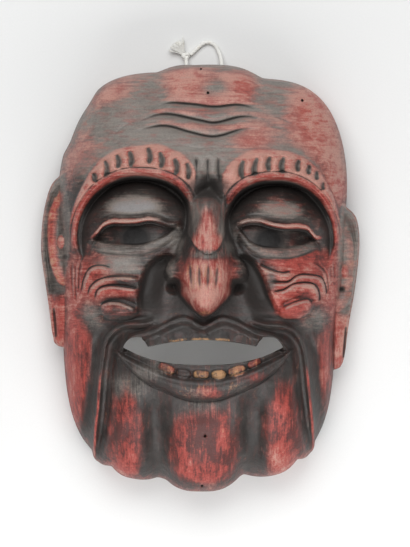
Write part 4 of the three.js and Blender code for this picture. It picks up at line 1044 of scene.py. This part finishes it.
def paint_ear(x, y, side, coats):
    shape = EARS[side]
    edge = ear_edge(y, side)
    inn = edge - side * x
    on_ear = smooth(-1.0, 0.8, side * x - glide(y, shape["root"])) * (edge > 0)
    rolled = hump(near_line(x, y, shape["helix"], 8, 40)[0] / 1.9)
    ridge, _ = near_line(x, y, shape["inner"], 16, 40)
    within = np.where(ridge < NOWHERE, -side * ridge, -9)
    slit = hump(near_line(x, y, shape["slit"], 5)[0] / 1.6)
    lobe = smooth(shape["lobe"][1] + 19, shape["lobe"][1] + 10, y)
    knob = fall(0.7, 1.05, far(x, y, *shape["knob"]))
    outer = smooth(2.6, 0.4, inn)
    flush = smooth(-2.0, 0.5, within) * (1 - lobe) * fall(1.5, 7.5, within) * shape["flush"]
    hollow = smooth(0.4, -1.0, within) * smooth(1.0, 2.4, inn)
    hollow = hollow * (1 - 0.5 * rolled) * (1 - lobe) * (1 - knob)

    def most(*parts):
        return on_ear * np.max(parts, axis=0)

    # The ear's hollow, the lobe's slit and the hole are darkened as painted shade.
    coats.lay(red=most(0.45 * outer, 0.95 * flush, 0.85 * lobe, 0.9 * knob),
              rose=0.6 * most(outer, 0.5 * flush, knob, 0.4 * lobe),
              ochre=0.26 * most(flush, 0.4 * hump((lobe - 0.5) / 0.5)),
              pale=0.45 * most(outer, 0.5 * rolled),
              ash=on_ear * (0.45 * (1 - lobe) + shape["ash"]), dark=most(0.42 * hollow, 0.9 * slit))
    coats.lay(rose=shape["rose"] * on_ear, dark=hump(far(x, y, *shape["hole"], 3.0, 3.0)))


def paint_nose(x, y, coats):
    shield = fall(0.85, 1.0, bridge(x, y)) * smooth(14, 18, y) * fall(44, 56, y)
    core = hump((x - 2.5) / (6.0 + 4.5 * smooth(40, 24, y))) * fall(36, 47, y) + smooth(28, 19, y)
    core = np.clip(core, 0, 1)
    coats.lay(red=shield * (0.15 + 0.6 * core), rose=0.45 * shield, ash=0.55 * shield * (1 - 0.6 * core),
              dark=0.4 * shield * (1 - core))
    coats.lay(dark=0.4 * shield * hump((x + 1.5) / 2.2) * smooth(28, 36, y))
    coats.lay(dark=0.35 * shield * hump((x - 4.0) / 1.6) * smooth(30, 38, y))
    for points in GILT_LINES:
        coats.lay(ochre=0.14 * stroke(near_line(x, y, points, 3), 1.0, 0.2, 0.2))
    # Painted shade down each groove of the nose.
    for points in NOSE_GROOVES:
        d, t = near_line(x, y, points, 5)
        lens = 0.3 + 0.7 * ends(t, 0.5, 0.5)
        coats.lay(ochre=0.45 * hump((np.abs(d) - 0.4 - 1.5 * lens) / 0.8) * ends(t, 0.1, 0.1),
                  ash=0.6 * hump(d / (2.0 * lens)),
                  dark=0.5 * hump(d / (0.5 + 1.6 * lens)) * ends(t, 0.06, 0.06))


def paint_forehead(x, y, coats):
    # The cuts of the frowns and wrinkles are darkened as painted shade.
    for points in FROWNS:
        coats.lay(dark=0.5 * stroke(near_line(x, y, points, 5), 1.3, 0.3, 0.0))
    for points in WRINKLES:
        line = near_line(x, y, points, 6)
        coats.lay(dark=0.62 * stroke(line, 1.3, 0.3, 0.3, beside=0.1),
                  red=0.35 * stroke(line, 1.8, 0.2, 0.2, beside=2.4),
                  rose=0.6 * stroke(line, 1.8, 0.0, 0.0, beside=2.4))
    for points in FINE_WRINKLES:
        coats.lay(dark=0.3 * stroke(near_line(x, y, points, 4), 0.9, 0.3, 0.4))
    coats.lay(rose=0.5 * smooth(50, 80, y), ash=0.75 * smooth(48, 74, y))


def paint_teeth(x, y, coats):
    for shape, (gilt, stain) in zip(LOWER_TEETH, TOOTH_PAINT):
        q = lower_tooth(x, y, shape)
        coats.lay(ochre=gilt * fall(0.75, 1.08, q), red=stain * fall(0.8, 1.05, q))
    for shape in UPPER_TEETH[1:4]:
        edge = hump((y - mouth_top(x) - 0.8) / 1.5)
        coats.lay(ochre=0.62 * fall(0.8, 1.0, far(x, y, *shape)) * edge)


def paint(x, y, relief):
    """Amounts of each finish on the face: red, rose, gilding, painted shade and dark paint, wear, gloss,
    grey with painted highlight, upright brushing.
    """
    coats = Coats()
    for name, areas in AREAS.items():
        for *shape, strength in areas:
            coats.lay(**{name: strength * fall(0.25, 1.5, far(x, y, *shape))})
    for side in (-1, 1):
        for part in (paint_brow, paint_eye, paint_cheek, paint_ear):
            part(x, y, side, coats)
    for part in (paint_nose, paint_forehead, paint_teeth):
        part(x, y, coats)
    # Painted shade in the valleys of the beard and in the beetle holes.
    for px, half in BEARD_VALLEYS:
        coats.lay(dark=0.38 * hump((x - px) / (0.8 * half)) * smooth(-66, -90, y))
    for px, py, r in BEETLE_HOLES:
        coats.lay(dark=fall(0.9, 1.2, np.hypot(x - px, y - py) / r))

    share = np.hypot(x, y) / outline(np.arctan2(y, x))
    inland = fall(0.94, 0.99, share)
    fine = np.clip(sample(relief - soften(relief, 1.2), x, y) / 0.9, -1, 1) * inland
    broad = np.clip(sample(relief - soften(relief, 4.5), x, y) / 3.0, -1, 1) * inland
    # Fine cuts and broad dips of the carving, which take out red and darken the colour as painted shade.
    cut, dip = np.clip(-fine, 0, 1), np.clip(-broad, 0, 1)
    low_edge = smooth(0.955, 1.0, share) * smooth(-95, -112, y)
    coats.lay(rose=0.6 * low_edge, red=0.4 * low_edge, pale=0.4 * low_edge)
    coats.lay(pale=(0.12 + 0.18 * smooth(-30, 0, y)) * smooth(0.3, 0.9, fine))
    rubbed = coats.total("rubbed")
    coats.lay(ash=0.6 * rubbed * smooth(-60, -30, y))

    beard_tone = 0.38 * smooth(-50, -66, y) * fall(60, 68, np.abs(x))
    nose_line = fall(12, 18, np.abs(x - 2)) * smooth(50, 40, y) * smooth(-30, -24, y)
    rose = coats.total("rose") * (0.8 + 0.4 * broad) - 0.5 * coats.total("deep") - beard_tone
    return dict(
        vermilion=np.clip(coats.total("red") * (0.9 + 0.3 * broad) * (1 - rubbed) - 0.3 * cut, 0, 1),
        rose=np.clip(rose, -1, 1),
        ochre=coats.total("ochre"),
        # Painted shade in the carving's hollows, cuts and dips, together with dark paint and the iris's
        # black.
        grime=np.clip(coats.total("dark") + 0.45 * cut + 0.15 * dip, 0, 1) + 0.5 * coats.total("black"),
        worn=coats.total("pale"),
        gloss=coats.total("gloss"),
        # Worn grey lacquer, together with the highlight painted on the lids.
        ash=np.clip(coats.total("ash") + 0.9 * coats.total("sheen"), 0, 1.5),
        upright=smooth(-28, -42, y) + nose_line,
    )


# Nodes of a finish.

# Grey and rosy highlights painted on the lids, shares of vermilion in the undercoat and in the darkest
# paint, and of clean cotton in soiled cotton.
LID_SHEEN, ROSY_SHEEN = (0.33, 0.33, 0.335), (0.34, 0.235, 0.2)
UNDERCOAT, MAROON = (0.26, 0.36, 0.36), (0.22, 0.3, 0.34)
SOILED = (0.78, 0.7, 0.55)
# How far the finest relief of each finish stands up, in metres.
BRUSH_HEIGHT, GRAIN_HEIGHT, FIBRE_HEIGHT = 0.0006, 0.0004, 0.0003


class Finish:
    """A material whose nodes are laid out from plain calls. Each call gives the socket it ends in."""

    def __init__(self, name):
        self.material = bpy.data.materials.new(name)
        self.material.use_nodes = True
        self.tree = self.material.node_tree
        self.shader = self.tree.nodes["Principled BSDF"]

    def put(self, sockets, values):
        """Link or set sockets by their names or numbers."""
        for key, value in values.items():
            if isinstance(value, bpy.types.NodeSocket):
                self.tree.links.new(value, sockets[key])
            else:
                sockets[key].default_value = value

    def node(self, kind, values, out=0, **settings):
        made = self.tree.nodes.new("ShaderNode" + kind)
        for key, value in settings.items():
            setattr(made, key, value)
        self.put(made.inputs, values)
        return made.outputs[out]

    def amount(self, name):
        return self.node("Attribute", {}, "Fac", attribute_name=name)

    def millimetres(self, scale=(1, 1, 1)):
        place = self.node("TexCoord", {}, "Object")
        return self.node("VectorMath", {0: place, 1: [1000 * s for s in scale]}, operation="MULTIPLY")

    def noise(self, vector, scale, detail=4.0, rough=0.6, warp=0.0):
        values = dict(Vector=vector, Scale=scale, Detail=detail, Roughness=rough, Distortion=warp)
        return self.node("TexNoise", values, "Fac")

    def math(self, operation, *values, clamp=False):
        return self.node("Math", dict(enumerate(values)), operation=operation, use_clamp=clamp)

    def ramp(self, value, low, high, to_low=0.0, to_high=1.0, shape="SMOOTHSTEP"):
        values = dict(enumerate((value, low, high, to_low, to_high)))
        return self.node("MapRange", values, interpolation_type=shape)

    def blend(self, amount, a, b, blend_type="MIX"):
        """Two colours, mixed."""
        return self.node("Mix", {0: amount, 6: a, 7: b}, 2, data_type="RGBA", blend_type=blend_type)

    def between(self, amount, a, b):
        """Two numbers, mixed."""
        return self.node("Mix", {0: amount, 2: a, 3: b})

    def uneven(self, amount, *parts):
        """An amount with shares of noises added."""
        for noise, share in parts:
            amount = self.math("MULTIPLY_ADD", noise, share, amount)
        return amount

    def shade(self, colour, dull, specular, relief=None, strength=0.0, height=0.0, sheen=0.0):
        """Finish the material, and give it."""
        values = {"Base Color": colour, "Roughness": dull, "Specular IOR Level": specular,
                  "Sheen Weight": sheen}
        if relief is not None:
            values["Normal"] = self.node("Bump", dict(Height=relief, Strength=strength, Distance=height))
        self.put(self.shader.inputs, values)
        return self.material


def tint(colour, share=1.0):
    """A socket's colour: the given one times one share, or times a share each of red, green and blue."""
    return (*(np.array(tuple(colour)) * share), 1.0)


def painted_wood(sizes):
    """Worn red paint over black lacquer, brushed across the face and upright in the beard."""
    f = Finish("painted_wood")
    mm = f.millimetres()
    upright, grime, rose, ash = (f.amount(name) for name in ("upright", "grime", "rose", "ash"))
    vermilion = f.amount("vermilion")
    stroke_noise = f.between(upright, f.noise(f.millimetres((0.08, 1.0, 0.2)), 0.75, 4.0, 0.62, 0.5),
                             f.noise(f.millimetres((1.0, 0.07, 0.2)), 0.85, 4.0, 0.62, 0.5))
    smear = f.between(upright, f.noise(f.millimetres((0.22, 1.0, 0.5)), 0.26, 4.0, 0.58, 0.8),
                      f.noise(f.millimetres((1.0, 0.16, 0.5)), 0.3, 4.0, 0.58, 0.8))
    cloud = f.noise(mm, 0.075, 4.0, 0.55, 0.6)
    speck = f.noise(mm, 0.62, 6.0, 0.7)
    grain = f.noise(mm, 2.2, 3.0, 0.6)
    lines, smears, clouds, specks = (f.ramp(noise, 0.2, 0.8, -1.0, 1.0, "LINEAR")
                                     for noise in (stroke_noise, smear, cloud, speck))

    red = f.uneven(vermilion, (smears, 0.24), (lines, 0.2), (clouds, 0.2), (specks, 0.1), (grime, -0.3))
    red = f.ramp(red, 0.04, 0.94)
    tone = f.uneven(0.52, (smears, 0.38), (lines, 0.3), (clouds, 0.42), (specks, 0.26), (rose, 0.6))
    paint_red = f.blend(f.ramp(tone, 0.02, 0.6), tint(sizes.vermilion, MAROON), tint(sizes.vermilion))
    paint_red = f.blend(f.ramp(tone, 0.5, 1.15), paint_red, tint(sizes.rose))

    lacquer = f.blend(f.ramp(cloud, 0.35, 0.68), tint(sizes.lacquer), tint(sizes.lacquer, 1.8))
    lacquer = f.blend(f.ramp(smear, 0.42, 0.7, 0.0, 0.22), lacquer, tint(sizes.vermilion, 0.3))
    lacquer = f.blend(f.ramp(vermilion, 0.05, 0.65, 0.0, 0.85), lacquer, tint(sizes.vermilion, UNDERCOAT))
    # Grey over the lacquer: wear, and the highlights painted on the lids and the left nose wing.
    grey = f.ramp(f.uneven(ash, (specks, 0.16), (lines, 0.26), (clouds, 0.16)), 0.05, 1.0, 0.0, 0.95)
    lacquer = f.blend(grey, lacquer, tint(sizes.ash))
    blush = f.math("MULTIPLY", f.ramp(smear, 0.44, 0.72, 0.0, 0.9), rose, clamp=True)
    lacquer = f.blend(blush, lacquer, tint(sizes.vermilion, 0.75))
    # The highlight painted on the lids, grey or rosy.
    sheen = f.blend(f.ramp(rose, 0.2, 0.9), tint(LID_SHEEN), tint(ROSY_SHEEN))
    lacquer = f.blend(f.ramp(ash, 0.75, 1.45, 0.0, 0.75), lacquer, sheen)

    colour = f.blend(red, lacquer, paint_red)
    worn = f.ramp(f.uneven(f.amount("worn"), (specks, 0.3), (lines, 0.25)), 0.18, 0.95, 0.0, 0.66)
    colour = f.blend(worn, colour, tint(sizes.edge))
    scratch = f.ramp(stroke_noise, 0.63, 0.74, 0.0, 0.3)
    scratch = f.math("MULTIPLY", scratch, f.ramp(upright, 0.0, 1.0, 1.0, 0.45))
    colour = f.blend(scratch, colour, tint(sizes.edge))
    colour = f.blend(1.0, colour, f.ramp(grain, 0.3, 0.7, 0.74, 1.22), "MULTIPLY")
    gilt = f.ramp(f.uneven(f.amount("ochre"), (specks, 0.45), (smears, 0.25)), 0.16, 0.8, 0.0, 0.85)
    colour = f.blend(gilt, colour, tint(sizes.ochre))
    # Painted shade: the colour darkens towards the lacquer in the carving's hollows and cuts, and under
    # dark paint.
    shade_and_dark_share = f.ramp(f.uneven(grime, (specks, 0.12)), 0.2, 1.0, 0.0, 0.93)
    colour = f.blend(shade_and_dark_share, colour, tint(sizes.lacquer, 1.1))
    # Only the iris's black paint reaches this far: the darkest colour.
    colour = f.blend(f.ramp(grime, 1.0, 1.5), colour, tint(sizes.lacquer, 0.25))

    dull = f.math("MULTIPLY_ADD", speck, 0.26, f.math("MULTIPLY", red, 0.05))
    dull = f.math("ADD", dull, sizes.roughness - 0.13)
    dull = f.math("MULTIPLY_ADD", shade_and_dark_share, 0.18, dull)
    dull = f.math("MULTIPLY_ADD", f.amount("gloss"), -0.28, dull, clamp=True)
    dents = f.noise(mm, 0.26, 2.0, 0.5)
    relief = f.uneven(f.math("MULTIPLY", grain, 0.16), (stroke_noise, 0.45), (speck, 0.45), (dents, 1.5))
    return f.shade(colour, dull, 0.42, relief, sizes.brush_relief, BRUSH_HEIGHT)


def bare_wood(sizes):
    """Dark stained wood with upright grain."""
    f = Finish("bare_wood")
    along_grain = f.millimetres((1.0, 0.06, 0.5))
    grain = f.noise(along_grain, 0.9, 6.0, 0.65, 0.6)
    rings = f.noise(along_grain, 0.16, 3.0, 0.5, 1.2)
    stain = f.noise(f.millimetres(), 0.05, 4.0, 0.6)
    wood = f.blend(f.ramp(grain, 0.3, 0.7), tint(sizes.wood, 0.55), tint(sizes.wood))
    wood = f.blend(f.ramp(rings, 0.45, 0.62, 0.0, 0.5), wood, tint(sizes.wood, 0.45))
    wood = f.blend(f.ramp(stain, 0.4, 0.75, 0.0, 0.75), wood, tint(sizes.wood, 0.28))
    relief = f.math("MULTIPLY_ADD", grain, 0.8, f.math("MULTIPLY", rings, 0.5))
    return f.shade(wood, f.ramp(grain, 0.2, 0.8, 0.72, 0.58), 0.35, relief, 0.6, GRAIN_HEIGHT)


def cotton(sizes):
    """Matt cotton, soiled in places."""
    f = Finish("cotton")
    mm = f.millimetres()
    fibre = f.noise(mm, 3.2, 4.0, 0.7, 0.8)
    soil = f.noise(mm, 0.22, 3.0, 0.6)
    colour = f.blend(f.ramp(fibre, 0.3, 0.75), tint(sizes.cotton, 0.8), tint(sizes.cotton))
    colour = f.blend(f.ramp(soil, 0.5, 0.8, 0.0, 0.4), colour, tint(sizes.cotton, SOILED))
    return f.shade(colour, f.ramp(fibre, 0.2, 0.8, 0.95, 0.8), 0.2, fibre, 0.5, FIBRE_HEIGHT, 0.25)


def plain_floor(sizes):
    f = Finish("plain_floor")
    paper = f.noise(f.millimetres(), 0.8, 4.0, 0.6)
    colour = f.blend(f.ramp(paper, 0.3, 0.7), tint(sizes.floor, 0.985), tint(sizes.floor))
    return f.shade(colour, f.ramp(paper, 0.2, 0.8, 0.9, 0.8), 0.15)


# Objects.

# Points along the cord and its tail, and sides of their tubes. Seed of the frayed end, the tail's point
# where its fibres start, and the one where its string ends.
CORD_POINTS, TAIL_POINTS = 300, 60
CORD_SIDES, KNOT_SIDES, FIBRE_SIDES, DRILL_SIDES = 18, 14, 5, 24
FRAY_SEED, FRAY_START, STRING_END = 11, 18, 44
# Camera: place over the mask, height of the face that its view is set for, and sensor in millimetres.
CAMERA_PLACE, FACE_HEIGHT, SENSOR = (0.003, 0.0027), 0.03, 36.0
# Soft lights: place, what they face and size, in metres.
LIGHTS = {
    "key": ((-0.1, 0.78, 1.2), (0, 0.02, 0.05), (1.4, 0.9)),
    "top": ((-0.15, 0.15, 1.45), (0, 0, 0.05), (0.9, 0.9)),
    "fill": ((0.05, -0.5, 0.42), (0, -0.24, 0.0), (0.9, 0.3)),
}
# Small lamps that light the floor seen through the mouth: place across, power.
MOUTH_LAMPS = ((-0.046, 0.003), (0.0, 0.0018), (0.05, 0.0026))
MOUTH_LAMP_Y, MOUTH_LAMP_Z, MOUTH_LAMP_SIZE = -0.045, 0.036, (0.024, 0.012)
SKY, SKY_STRENGTH = (0.93, 0.96, 1.0, 1.0), 0.26
FLOOR_HALF, FLOOR_STEPS = 3.0, 12


def place(name, points, faces, material, slot):
    """A mesh piece of the object, from corners in millimetres of the carver's plane."""
    mesh = bpy.data.meshes.new(name)
    mesh.from_pydata(row(points).tolist(), [], [list(map(int, face)) for face in faces])
    if mesh.validate():
        raise RuntimeError(f"{name}: the mesh has faulty faces")
    mesh.shade_smooth()
    piece = bpy.data.objects.new(name, mesh)
    bpy.context.scene.collection.objects.link(piece)
    piece.data.materials.append(material)
    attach(piece, "root")
    return piece


def frames_along(line):
    """Two directions across a line at each of its points, without twist."""
    ahead = np.gradient(line, axis=0)
    ahead /= np.linalg.norm(ahead, axis=1)[:, None]
    across = np.cross(ahead[0], (0.0, 0.0, 1.0))
    sides = []
    for d in ahead:
        across = across - d * across.dot(d)
        across /= np.linalg.norm(across)
        sides.append(across.copy())
    sides = np.array(sides)
    return sides, np.cross(ahead, sides)


def tube(line, radius, sides, start=0):
    """Corners and faces of a closed tube, numbered from start.

    radius is a number, or a function of the place along the tube and the turn round it.
    """
    u, v = frames_along(line)
    n = len(line)
    turn = np.arange(sides) / sides * 2 * math.pi
    run = np.concatenate([[0], np.cumsum(np.linalg.norm(np.diff(line, axis=0), axis=1))])
    if callable(radius):
        r = radius(run[:, None], turn[None, :])
    else:
        r = np.full((n, sides), radius)
    ring = line[:, None, :] + r[:, :, None] * (np.cos(turn)[None, :, None] * u[:, None, :]
                                               + np.sin(turn)[None, :, None] * v[:, None, :])
    points = np.vstack([ring.reshape(-1, 3), line[:1], line[-1:]])
    faces = []
    for i in range(n - 1):
        for k in range(sides):
            a, b = i * sides + k, i * sides + (k + 1) % sides
            faces.append((a, b, b + sides, a + sides))
    for k in range(sides):
        faces.append(((k + 1) % sides, k, n * sides))
        faces.append(((n - 1) * sides + k, (n - 1) * sides + (k + 1) % sides, n * sides + 1))
    return points, [tuple(start + c for c in face) for face in faces]


def laid(radius, strands=3, pitch=7.5):
    """Radius of a string laid up from strands, over the place along it and the turn round it."""
    def across(run, turn):
        return radius * (0.83 + 0.17 * np.abs(np.cos(strands / 2 * (turn - run / pitch * 2 * math.pi))))

    return across


def colour_setting(name, description, default):
    return FloatVectorProperty(name=name, description=description, subtype="COLOR", size=3, min=0, max=1,
                               default=default)


def length_setting(name, description, default, low, high):
    return FloatProperty(name=name, description=description, subtype="DISTANCE", unit="LENGTH",
                         default=default, min=low, max=high)


def power_setting(name, description, default):
    return FloatProperty(name=name, description=description, subtype="POWER", unit="POWER", default=default,
                         min=0, max=200)


class CarvingSizes(bpy.types.PropertyGroup):
    fineness: FloatProperty(name="Fineness", description="Spacing of the finest corners, in millimetres",
                            default=0.6, min=0.3, max=3.0)
    corners: IntProperty(name="Corners", description="How many corners the carved face may have",
                         default=74000, min=5000, max=90000)


class FinishSettings(bpy.types.PropertyGroup):
    vermilion: colour_setting("Vermilion", "Red paint where it is whole", (0.37, 0.058, 0.044))
    rose: colour_setting("Rose", "Red paint where it is rubbed pale", (0.48, 0.24, 0.192))
    lacquer: colour_setting("Lacquer", "Black lacquer", (0.026, 0.022, 0.02))
    # This grey is worn lacquer; on the lids and the left nose wing it is also a painted highlight.
    ash: colour_setting("Ash", "Lacquer worn grey on the lids and the beard", (0.25, 0.222, 0.196))
    edge: colour_setting("Edge", "Paint worn pale along the crests", (0.36, 0.27, 0.23))
    ochre: colour_setting("Ochre", "Worn gilding of the teeth and the crests", (0.42, 0.23, 0.1))
    wood: colour_setting("Wood", "Bare wood of the inside and the rim", (0.2, 0.115, 0.06))
    roughness: FloatProperty(name="Roughness", description="Roughness of the lacquer", subtype="FACTOR",
                             default=0.46, min=0.15, max=0.9)
    brush_relief: FloatProperty(name="Brush relief", description="How far brush strokes and grain stand up",
                                subtype="FACTOR", default=0.5, min=0, max=1)


class CordSettings(bpy.types.PropertyGroup):
    diameter: length_setting("Diameter", "Thickness of the cotton string", 0.0025, 0.001, 0.005)
    length: length_setting("Length", "Length of the loop from knot to knot", 0.108, 0.08, 0.2)
    cotton: colour_setting("Cotton", "Colour of the string", (0.96, 0.95, 0.9))
    fibres: IntProperty(name="Fibres", description="Loose fibres in the frayed end", default=190, min=0,
                        max=300)


class StudioSettings(bpy.types.PropertyGroup):
    floor: colour_setting("Floor", "Colour of the pale floor", (0.8, 0.8, 0.79))
    height: length_setting("Camera height", "Height of the camera over the floor", 2.5, 0.5, 5)
    view: length_setting("View", "Height of the picture at the mask", 0.342, 0.2, 1)
    key: power_setting("Key light", "Power of the broad soft light beyond the head", 15.0)
    top: power_setting("Top light", "Power of the soft light over the face", 2.0)
    fill: power_setting("Fill light", "Power of the soft light below the chin", 3.4)


class MASK_OT_studio(bpy.types.Operator):
    """Lay the pale floor, hang the soft lights and set the camera straight over the face"""

    bl_idname = "mask.studio"
    bl_label = "Studio"

    def execute(self, context):
        scene = context.scene
        sizes = scene.mask_studio
        camera = bpy.data.objects.new("camera", bpy.data.cameras.new("camera"))
        scene.collection.objects.link(camera)
        camera.location = (*CAMERA_PLACE, sizes.height)
        camera.data.sensor_fit = "VERTICAL"
        camera.data.sensor_height = SENSOR
        camera.data.lens = SENSOR * (sizes.height - FACE_HEIGHT) / sizes.view
        scene.camera = camera
        for name, (at, aim, size) in LIGHTS.items():
            self.soft_light(scene, f"{name}_light", at, aim, size, getattr(sizes, name))
        for x, power in MOUTH_LAMPS:
            self.soft_light(scene, "mouth_light", (x, MOUTH_LAMP_Y, MOUTH_LAMP_Z), (x, MOUTH_LAMP_Y, 0.0),
                            MOUTH_LAMP_SIZE, power)
        world = bpy.data.worlds.new("studio")
        world.use_nodes = True
        sky = world.node_tree.nodes["Background"].inputs
        sky["Color"].default_value = SKY
        sky["Strength"].default_value = SKY_STRENGTH
        scene.world = world
        scene.view_settings.view_transform = "Standard"
        self.lay_floor(scene, plain_floor(sizes))
        return {"FINISHED"}

    def soft_light(self, scene, name, at, aim, size, power):
        lamp = bpy.data.lights.new(name, "AREA")
        lamp.shape = "RECTANGLE"
        lamp.size, lamp.size_y = size
        lamp.energy = power
        light = bpy.data.objects.new(name, lamp)
        light.location = at
        light.rotation_euler = (Vector(aim) - Vector(at)).to_track_quat("-Z", "Y").to_euler()
        scene.collection.objects.link(light)

    def lay_floor(self, scene, finish):
        spots = np.linspace(-FLOOR_HALF, FLOOR_HALF, FLOOR_STEPS + 1)
        corners = [(x, y, 0.0) for y in spots for x in spots]
        faces = []
        for j in range(FLOOR_STEPS):
            for i in range(FLOOR_STEPS):
                a = j * (FLOOR_STEPS + 1) + i
                b = a + FLOOR_STEPS + 1
                faces.append((a, a + 1, b + 1, b))
        mesh = bpy.data.meshes.new("floor")
        mesh.from_pydata(corners, [], faces)
        floor = bpy.data.objects.new("floor", mesh)
        scene.collection.objects.link(floor)
        floor.data.materials.append(finish)


class MASK_OT_hanging_cord(bpy.types.Operator):
    """Lay the cotton string through the two holes, and tie its knot with the frayed tail"""

    bl_idname = "mask.hanging_cord"
    bl_label = "Hanging cord"

    def execute(self, context):
        sizes = context.scene.mask_cord
        radius = sizes.diameter * 500.0
        finish = cotton(sizes)
        line = curve(CORD_ROUTE, CORD_POINTS)
        cord = place("cotton_cord", *tube(line, laid(radius), CORD_SIDES), finish, "cotton")
        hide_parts("hanging_cord")
        knot = self.knot(radius, sizes.fibres, finish)
        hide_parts("cord_knot")
        return {"FINISHED"}

    def knot(self, radius, fibres, finish):
        """An overhand knot round the string's two ends, and the tail that frays into a fan."""
        t = np.linspace(0, 2 * math.pi, 90)
        trefoil = np.stack([np.sin(t) + 2 * np.sin(2 * t), np.cos(t) - 2 * np.cos(2 * t), -np.sin(3 * t)],
                           axis=1)
        wrap = np.array(KNOT) + trefoil * np.array([0.62, 0.62, 0.75])
        points, faces = tube(wrap, laid(radius * 0.92), KNOT_SIDES)
        tail = curve(TAIL_ROUTE, TAIL_POINTS)
        more, their = tube(tail[:STRING_END], laid(radius * 0.95), KNOT_SIDES, len(points))
        points, faces = np.vstack([points, more]), faces + their
        rng = np.random.default_rng(FRAY_SEED)
        heading = tail[-1] - tail[-22]
        heading /= np.linalg.norm(heading)
        across = np.array([-heading[1], heading[0], 0.0])
        up = np.array([0, 0, 1.0])
        s = np.linspace(0, 1, 8)[:, None]
        for _ in range(fibres):
            spread, lift = rng.normal(0, 0.75), rng.uniform(-0.5, 1.6)
            start = tail[FRAY_START] + across * spread * 0.7 + up * 0.5 * lift
            length = rng.uniform(5.0, 8.6)
            bow = rng.normal(0, 0.5)
            sway = spread * 2.4 * s**1.3 + bow * np.sin(3 * s) * s
            fibre = start + heading * s * length + across * sway + up * (lift * 1.1 * s)
            fibre[:, 2] = np.maximum(fibre[:, 2], 0.35)
            more, their = tube(fibre, rng.uniform(0.22, 0.42), FIBRE_SIDES, len(points))
            points, faces = np.vstack([points, more]), faces + their
        return place("cord_knot_and_tail", points, faces, finish, "cotton")


class MASK_OT_carved_mask(bpy.types.Operator):
    """Carve the mask's fine surface, drill its two cord holes and paint it"""

    bl_idname = "mask.carved_mask"
    bl_label = "Carved mask"

    def execute(self, context):
        scene = context.scene
        relief = face_relief()
        points, faces = mask_mesh(relief, scene.mask_carving.fineness, scene.mask_carving.corners)
        mask = place("carved_mask", points, faces, painted_wood(scene.mask_finish), "painted_wood")
        mask.data.materials.append(bare_wood(scene.mask_finish))
        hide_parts("mask")
        self.drill(mask)
        self.paint(mask, relief)
        return {"FINISHED"}

    def drill(self, mask):
        for k, x in enumerate(HOLES_X):
            line = np.array([(x, y, HOLE_Z) for y in np.linspace(HOLE_FROM, HOLE_TO, 12)])
            points, faces = tube(line, HOLE_R, DRILL_SIDES)
            mesh = bpy.data.meshes.new(f"drill_{k}")
            mesh.from_pydata(row(points).tolist(), [], faces)
            drill = bpy.data.objects.new(f"drill_{k}", mesh)
            bpy.context.scene.collection.objects.link(drill)
            cut = mask.modifiers.new("cord_hole", "BOOLEAN")
            cut.operation = "DIFFERENCE"
            cut.solver = "EXACT"
            cut.object = drill
            with bpy.context.temp_override(object=mask, active_object=mask, selected_objects=[mask]):
                bpy.ops.object.modifier_apply(modifier="cord_hole")
            bpy.data.objects.remove(drill)
            bpy.data.meshes.remove(mesh)

    def paint(self, mask, relief):
        """Lay the finishes over the corners, and leave the inside and the rim as bare wood."""
        mesh = mask.data
        x, y, _ = self.spots(mesh.vertices, "co")
        for name, values in paint(x, y, relief).items():
            layer = mesh.attributes.new(name, "FLOAT", "POINT")
            layer.data.foreach_set("value", np.ascontiguousarray(values, np.float32))
        x, y, z = self.spots(mesh.polygons, "center")
        halfway = mix(sample(relief, x, y), bowl(x, y), 0.62)
        inside = ((bowl_share(x, y) < 1.01) & (z < halfway)) | (z < 0.4)
        mesh.polygons.foreach_set("material_index", inside.astype(np.int32))
        mesh.update()

    def spots(self, items, what):
        """Places of corners or faces, in millimetres of the carver's plane."""
        found = np.empty(3 * len(items), np.float32)
        items.foreach_get(what, found)
        return (found.reshape(-1, 3).astype(float) * 1000 + MIDDLE).T


class MASK_PT_panel(bpy.types.Panel):
    """Pieces of the mask, in the order they are made"""

    bl_idname = "MASK_PT_panel"
    bl_label = "Theatre mask"
    bl_space_type = "VIEW_3D"
    bl_region_type = "UI"
    bl_category = "Mask"

    def draw(self, context):
        for group, operator in (("mask_studio", "mask.studio"), ("mask_cord", "mask.hanging_cord"),
                                ("mask_carving", "mask.carved_mask"), ("mask_finish", None)):
            box = self.layout.box()
            settings = getattr(context.scene, group)
            for name in settings.__annotations__:
                box.prop(settings, name)
            if operator:
                box.operator(operator)


GROUPS = {"mask_studio": StudioSettings, "mask_cord": CordSettings, "mask_carving": CarvingSizes,
          "mask_finish": FinishSettings}
CLASSES = [*GROUPS.values(), MASK_OT_studio, MASK_OT_hanging_cord, MASK_OT_carved_mask, MASK_PT_panel]


def register():
    for made in CLASSES:
        bpy.utils.register_class(made)
    for name, group in GROUPS.items():
        setattr(bpy.types.Scene, name, PointerProperty(type=group))


def unregister():
    for name in GROUPS:
        delattr(bpy.types.Scene, name)
    for made in reversed(CLASSES):
        bpy.utils.unregister_class(made)


def main():
    register()
    bpy.ops.mask.studio()
    bpy.ops.mask.hanging_cord()
    bpy.ops.mask.carved_mask()


if __name__ == "__main__":
    main()
